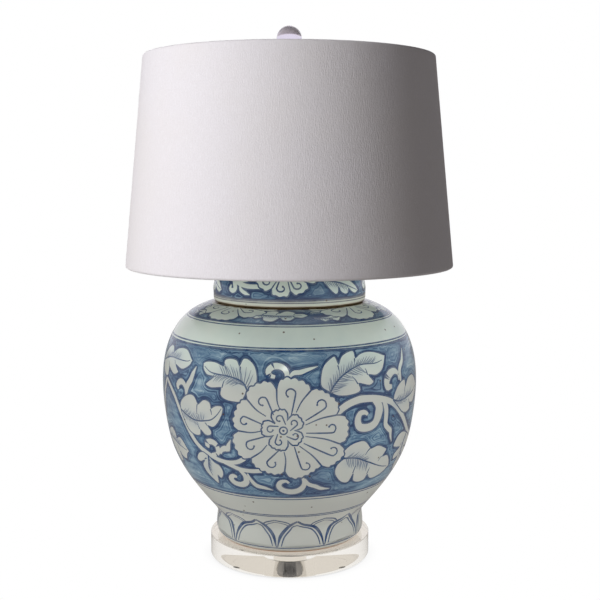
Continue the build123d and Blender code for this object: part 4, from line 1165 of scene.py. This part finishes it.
def painted_porcelain(name, raw_below):
    """Celadon glaze over cobalt, with the wash pooled along its outlines, and bare clay where the jar stands."""
    material, tree = blank(name)
    coords = add(tree, "TexCoord").outputs["Object"]
    x, y, z = add(tree, "SeparateXYZ", {0: coords}).outputs
    wash, ink, edge, tint = [
        add(tree, "Attribute", attribute_name=name).outputs["Fac"] for name in ("wash", "ink", "edge", "tint")
    ]
    mottle = grain(tree, coords, 16, 4)
    cloud = grain(tree, coords, 5, 2)
    streak = grain(tree, coords, 24, 5, (1, 1, 5.5), 0.6)
    fine = grain(tree, coords, 260, 3)
    glaze = ramp(tree, mottle, ((0.3, tone(206, 222, 215)), (0.55, tone(219, 234, 224)), (0.75, tone(228, 238, 228))))
    glaze = blend_of(tree, fade(tree, cloud, 0.45, 0.75, 0, 0.5), glaze, tone(205, 205, 196))
    # The glaze turns greyer and darker below the shoulder: partly the glaze's own tone, partly painted shade, with the
    # upward-facing band left lighter than the wall below it.
    glaze = blend_of(tree, fade(tree, z, 0.27, 0.315, 0.75, 0), glaze, tone(195, 195, 190))
    leaf_wash = fade(tree, math_of(tree, "MULTIPLY", tint, fade(tree, streak, 0.3, 0.7, 0.3, 1)), 0, 1, 0, 0.35)
    glaze = blend_of(tree, leaf_wash, glaze, tone(122, 150, 180))

    pooled = fade(tree, edge, 0.8, 4.0, 0.42, 0.0, smooth=True)
    sway = fade(tree, grain(tree, coords, 22, 2), 0.2, 0.8, -3.0, 3.0)
    lane = math_of(tree, "ADD", math_of(tree, "MULTIPLY", edge, 0.62), sway)
    lanes = add(tree, "CombineXYZ", {0: lane, 1: math_of(tree, "MULTIPLY", x, 14.0), 2: math_of(tree, "MULTIPLY", z, 14.0)})
    along = fade(tree, grain(tree, lanes.outputs[0], 1.0, 3), 0.32, 0.68, -0.04, 0.78)
    along = math_of(tree, "MULTIPLY", along, fade(tree, edge, 4.0, 11.0, 1.0, 0.45))
    depth = math_of(tree, "ADD", pooled, along)
    depth = math_of(tree, "ADD", depth, fade(tree, streak, 0.3, 0.7, -0.08, 0.46))
    depth = math_of(tree, "ADD", depth, fade(tree, fine, 0.2, 0.8, -0.06, 0.06))
    depth = math_of(tree, "ADD", depth, fade(tree, z, 0.345, 0.352, 0.0, 0.06))
    stops = (
        (0.0, tone(168, 192, 203)),
        (0.28, tone(124, 156, 178)),
        (0.55, tone(86, 121, 151)),
        (0.8, tone(54, 85, 123)),
        (1.0, tone(34, 59, 100)),
    )
    blue = ramp(tree, depth, stops)
    blue = blend_of(tree, fade(tree, grain(tree, coords, 9, 3), 0.5, 0.72, 0, 0.55), blue, tone(70, 80, 116))
    colour = blend_of(tree, math_of(tree, "MULTIPLY", wash, 0.97), glaze, blue)
    ink_depth = fade(tree, grain(tree, coords, 70, 3), 0.3, 0.7, 0.78, 1.0)
    lines = blend_of(tree, fade(tree, fine, 0.3, 0.7), tone(32, 58, 100), tone(46, 82, 128))
    colour = blend_of(tree, math_of(tree, "MULTIPLY", ink, ink_depth), colour, lines)

    speck = add(tree, "TexVoronoi", {"Vector": coords, "Scale": 54.0})
    spot = fade(tree, speck.outputs["Distance"], 0.055, 0.095, 1, 0)
    chosen = math_of(tree, "GREATER_THAN", add(tree, "SeparateXYZ", {0: speck.outputs["Color"]}).outputs[0], 0.4)
    colour = blend_of(tree, math_of(tree, "MULTIPLY", spot, fade(tree, chosen, 0, 1, 0, 0.85)), colour, tone(76, 56, 40))

    rim = math_of(tree, "ADD", z, fade(tree, grain(tree, coords, 30, 3), 0, 1, -0.0006, 0.0006))
    raw = fade(tree, rim, raw_below, raw_below + 0.0012, 1, 0)
    burnt = fade(tree, rim, raw_below + 0.001, raw_below + 0.0035, 0.7, 0)
    colour = blend_of(tree, burnt, colour, tone(168, 122, 88))
    colour = blend_of(tree, raw, colour, tone(186, 138, 102))
    colour = blend_of(tree, fade(tree, math_of(tree, "ABSOLUTE", math_of(tree, "SUBTRACT", rim, 0.3725)), 0.003, 0.008, 0.35, 0), colour,
                      tone(186, 176, 150))
    # Painted shadow: the clay and glaze where the lid sits on the jar are darkened to a thin dark olive line, standing
    # in for the shade in the gap under the lid.
    seat = fade(tree, math_of(tree, "ABSOLUTE", math_of(tree, "SUBTRACT", rim, 0.3674)), 0.0012, 0.002, 1, 0)
    colour = blend_of(tree, seat, colour, tone(86, 72, 48))
    rough = fade(tree, grain(tree, coords, 40, 3), 0.3, 0.7, 0.13, 0.2)
    rough = math_of(tree, "ADD", rough, fade(tree, raw, 0, 1, 0, 0.5))
    waves = math_of(tree, "ADD", grain(tree, coords, 18, 2), fade(tree, fine, 0, 1, 0, 0.03))
    normal = bumped(tree, waves, 0.0016, 0.35)
    inputs = {"Base Color": colour, "Roughness": rough, "Normal": normal, "IOR": 1.52}
    surface(tree, add(tree, "BsdfPrincipled", inputs))
    return material


def plain(name, light, dark, scale, rough, metallic=0.0, dent=0.0, stretch=(1, 1, 1), ior=1.5):
    """A finish that varies between two tones and two roughnesses."""
    material, tree = blank(name)
    coords = add(tree, "TexCoord").outputs["Object"]
    mottle = grain(tree, coords, scale, 4, stretch)
    colour = blend_of(tree, fade(tree, mottle, 0.3, 0.7), dark, light)
    worn = fade(tree, grain(tree, coords, scale * 2.7, 3), 0.3, 0.7, *rough)
    inputs = {"Base Color": colour, "Roughness": worn, "Metallic": metallic, "IOR": ior}
    if dent:
        inputs["Normal"] = bumped(tree, grain(tree, coords, scale * 4, 3, stretch), dent, 0.5)
    surface(tree, add(tree, "BsdfPrincipled", inputs))
    return material


def clear(name, colour, ior, rough, scale=60.0):
    """A clear material with faint wear, and a pale painted glow where light paths stay trapped in it."""
    material, tree = blank(name)
    coords = add(tree, "TexCoord").outputs["Object"]
    worn = fade(tree, grain(tree, coords, scale, 4), 0.4, 0.75, *rough)
    inputs = {"Base Color": colour, "Roughness": worn, "IOR": ior, "Transmission Weight": 1.0}
    glass = add(tree, "BsdfPrincipled", inputs)
    path = add(tree, "LightPath").outputs
    unbent = math_of(tree, "MAXIMUM", path["Is Shadow Ray"], path["Is Diffuse Ray"])
    through = add(tree, "BsdfTransparent", {"Color": colour})
    # Painted light: a path that has bounced more than four times inside the clear piece ends in a pale glow instead of
    # going dark.
    trapped = math_of(tree, "GREATER_THAN", path["Ray Depth"], 4.5)
    painted_glow = add(tree, "Emission", {"Color": tone(206, 201, 194)})
    mixed = add(tree, "MixShader", {0: trapped, 1: glass.outputs[0], 2: painted_glow.outputs[0]})
    surface(tree, add(tree, "MixShader", {0: unbent, 1: mixed.outputs[0], 2: through.outputs[0]}))
    return material


def linen_material():
    """Undyed linen: a plain weave with thicker threads here and there, both ways."""
    material, tree = blank("linen_cloth")
    place = add(tree, "UVMap", uv_map="cloth").outputs[0]
    coords = add(tree, "TexCoord").outputs["Object"]
    across = grain(tree, place, 1.0, 3, (110, 900, 1), 0.2)
    along = grain(tree, place, 1.0, 3, (1000, 90, 1), 0.2)
    crepe = grain(tree, place, 1.0, 3, (700, 380, 1), 0.3)
    weft = add(tree, "TexWave", {"Vector": place, "Scale": 260.0, "Distortion": 1.2}, bands_direction="Y").outputs[1]
    warp = add(tree, "TexWave", {"Vector": place, "Scale": 260.0, "Distortion": 1.2}, bands_direction="X").outputs[1]
    threads = math_of(tree, "MAXIMUM", math_of(tree, "MULTIPLY", weft, 0.9), warp)
    slub = math_of(tree, "MAXIMUM", fade(tree, across, 0.5, 0.8, 0, 0.5), fade(tree, along, 0.44, 0.75))
    slub = math_of(tree, "ADD", math_of(tree, "MULTIPLY", slub, 0.55), fade(tree, crepe, 0.3, 0.7, 0, 0.45))
    colour = blend_of(tree, slub, tone(222, 218, 222), tone(235, 232, 237))
    colour = blend_of(tree, fade(tree, grain(tree, coords, 7, 3), 0.4, 0.7, 0, 0.35), colour, tone(224, 219, 216))
    height = math_of(tree, "ADD", math_of(tree, "MULTIPLY", threads, 0.3), slub)
    normal = bumped(tree, height, 0.0005, 0.6)
    inputs = {"Base Color": colour, "Roughness": 0.9, "Normal": normal, "Sheen Weight": 0.15}
    surface(tree, add(tree, "BsdfPrincipled", inputs))
    return material


brass = plain("brass", tone(214, 176, 108), tone(188, 148, 84), 40, (0.16, 0.3), 1.0, 0.0001)
steel = plain("zinc_plated_steel", tone(176, 178, 182), tone(120, 122, 128), 60, (0.25, 0.42), 1.0, 0.0001)
nickel = plain("polished_nickel", tone(216, 212, 206), tone(196, 192, 188), 50, (0.1, 0.2), 1.0, 0.00006)
MATERIALS = {
    "acrylic": clear("acrylic", tone(246, 243, 238), 1.49, (0.0, 0.03)),
    "bumper_rubber": plain("soft_bumper", tone(226, 228, 228), tone(200, 204, 206), 90, (0.3, 0.45)),
    "zinc_steel": steel,
    "grommet_rubber": plain("grommet_rubber", tone(48, 47, 46), tone(30, 29, 29), 120, (0.5, 0.7), 0, 0.0001),
    "brass": brass,
    "nickel": nickel,
    "fibre": plain("fibre_liner", tone(170, 142, 104), tone(140, 112, 78), 80, (0.7, 0.85), 0, 0.0001, (1, 1, 0.2)),
    "phenolic": plain("moulded_block", tone(50, 38, 32), tone(32, 24, 20), 70, (0.3, 0.45), 0, 0.00005),
    "bulb_metal": plain("bulb_metal", tone(206, 208, 212), tone(168, 170, 176), 80, (0.2, 0.35), 1.0, 0.00005),
    "black_glass": plain("black_glass", tone(26, 26, 30), tone(14, 14, 16), 90, (0.05, 0.12)),
    "solder": plain("solder", tone(196, 198, 200), tone(150, 152, 156), 200, (0.3, 0.5), 1.0, 0.0002),
    "frosted_glass": plain("frosted_glass", tone(244, 243, 240), tone(232, 231, 228), 60, (0.3, 0.42)),
    "clear_glass": clear("stem_glass", tone(240, 244, 242), 1.5, (0.0, 0.03)),
    "white_wire": plain("white_enamel", tone(236, 234, 230), tone(222, 219, 214), 70, (0.3, 0.42), 0, 0.00005),
    "styrene": plain("styrene_liner", tone(244, 241, 235), tone(234, 230, 222), 30, (0.35, 0.5), 0, 0.00005),
    "linen": linen_material(),
    "crystal": clear("crystal", tone(228, 221, 240), 1.52, (0.0, 0.01)),
}
for row in frame["record"]["subparts"]:
    if row["material_slot"] in MATERIALS:
        nodes[row["node"]].data.materials.clear()
        nodes[row["node"]].data.materials.append(MATERIALS[row["material_slot"]])


def dress(piece, material, body, slot, *stands_for):
    piece.data.materials.append(material)
    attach(piece, body)
    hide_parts(*stands_for)


jar = make_jar()
dress(jar, painted_porcelain("painted_jar", 0.0326), "base_and_jar", "porcelain", "jar_body")
lid = make_lid()
dress(lid, painted_porcelain("painted_lid", 0.3675), "base_and_jar", "porcelain", "jar_lid")
linen = make_linen()
dress(linen, MATERIALS["linen"], "shade", "linen", "shade_linen")
dress(make_acrylic(), MATERIALS["acrylic"], "base_and_jar", "acrylic", "base_disc")
dress(make_crystal(), MATERIALS["crystal"], "finial", "crystal", "finial_ball")


def light_only(lamps, name, objects, state="INCLUDE"):
    """Some lamps light only some objects, or all but them."""
    group = bpy.data.collections.new(name)
    for piece in objects:
        group.objects.link(piece)
    for lamp in lamps:
        lamp.light_linking.receiver_collection = group
    for member in group.collection_objects:
        member.light_linking.link_state = state


shade_pieces = [linen, *(nodes[name] for name in frame["record"]["behaviour"]["bodies"]["shade"])]
light_only([shade_light], "shade_lit", shade_pieces)
light_only(jar_lights, "shade_unlit", shade_pieces, "EXCLUDE")


# ---------------------------------------------------------------- floor and surroundings
def make_stage():
    """A white floor, with a painted contact shadow only where the lamp stands close over it."""
    bm = bmesh.new()
    bmesh.ops.create_grid(bm, x_segments=1, y_segments=1, size=6.0)
    mesh = bpy.data.meshes.new("floor")
    bm.to_mesh(mesh)
    bm.free()
    floor = bpy.data.objects.new("floor", mesh)
    bpy.context.collection.objects.link(floor)
    material, tree = blank("floor")
    path = add(tree, "LightPath").outputs
    # Painted shadow: the floor the camera sees glows white, dimmed by occlusion where the lamp stands close over it.
    near = add(tree, "AmbientOcclusion", {"Distance": 0.035}, samples=8).outputs["AO"]
    white = add(tree, "Emission", {"Strength": fade(tree, near, 0.0, 0.7, 0.75, 1.0)})
    matt = add(tree, "Emission", {"Color": tone(206, 202, 198), "Strength": 0.5})
    sheen = add(tree, "Emission", {"Color": tone(160, 156, 152)})
    under = add(tree, "Emission", {"Color": tone(228, 223, 215)})
    mixed = add(tree, "MixShader", {0: path["Is Glossy Ray"], 1: matt.outputs[0], 2: sheen.outputs[0]})
    mixed = add(tree, "MixShader", {0: path["Is Transmission Ray"], 1: mixed.outputs[0], 2: under.outputs[0]})
    mixed = add(tree, "MixShader", {0: path["Is Camera Ray"], 1: mixed.outputs[0], 2: white.outputs[0]})
    surface(tree, mixed)
    mesh.materials.append(material)


def make_surroundings():
    world = bpy.data.worlds.new("studio")
    bpy.context.scene.world = world
    world.use_nodes = True
    tree = world.node_tree
    tree.nodes.clear()
    way = add(tree, "TexCoord").outputs["Generated"]
    x, y, z = add(tree, "SeparateXYZ", {0: way}).outputs
    room = ramp(tree, fade(tree, x, -1, 1), ((0.0, tone(196, 194, 196)), (0.55, tone(116, 112, 113)), (1.0, tone(62, 57, 56))))
    wings = ramp(tree, fade(tree, y, -1, 1), ((0.0, tone(96, 96, 98)), (0.5, tone(140, 138, 142)), (0.64, tone(226, 224, 232)), (1.0, tone(250, 248, 255))))
    path = add(tree, "LightPath").outputs
    seen = math_of(tree, "MAXIMUM", path["Is Camera Ray"], path["Is Transmission Ray"])
    white = add(tree, "Background", {"Color": (1, 1, 1, 1), "Strength": 1.0})
    dim = add(tree, "Background", {"Color": room, "Strength": 0.55})
    mirrored = add(tree, "Background", {"Color": wings, "Strength": 1.0})
    mixed = add(tree, "MixShader", {0: path["Is Glossy Ray"], 1: dim.outputs[0], 2: mirrored.outputs[0]})
    mixed = add(tree, "MixShader", {0: seen, 1: mixed.outputs[0], 2: white.outputs[0]})
    out = tree.nodes.new("ShaderNodeOutputWorld")
    tree.links.new(mixed.outputs[0], out.inputs[0])


make_stage()
make_surroundings()
bpy.context.scene.view_settings.view_transform = "Standard"
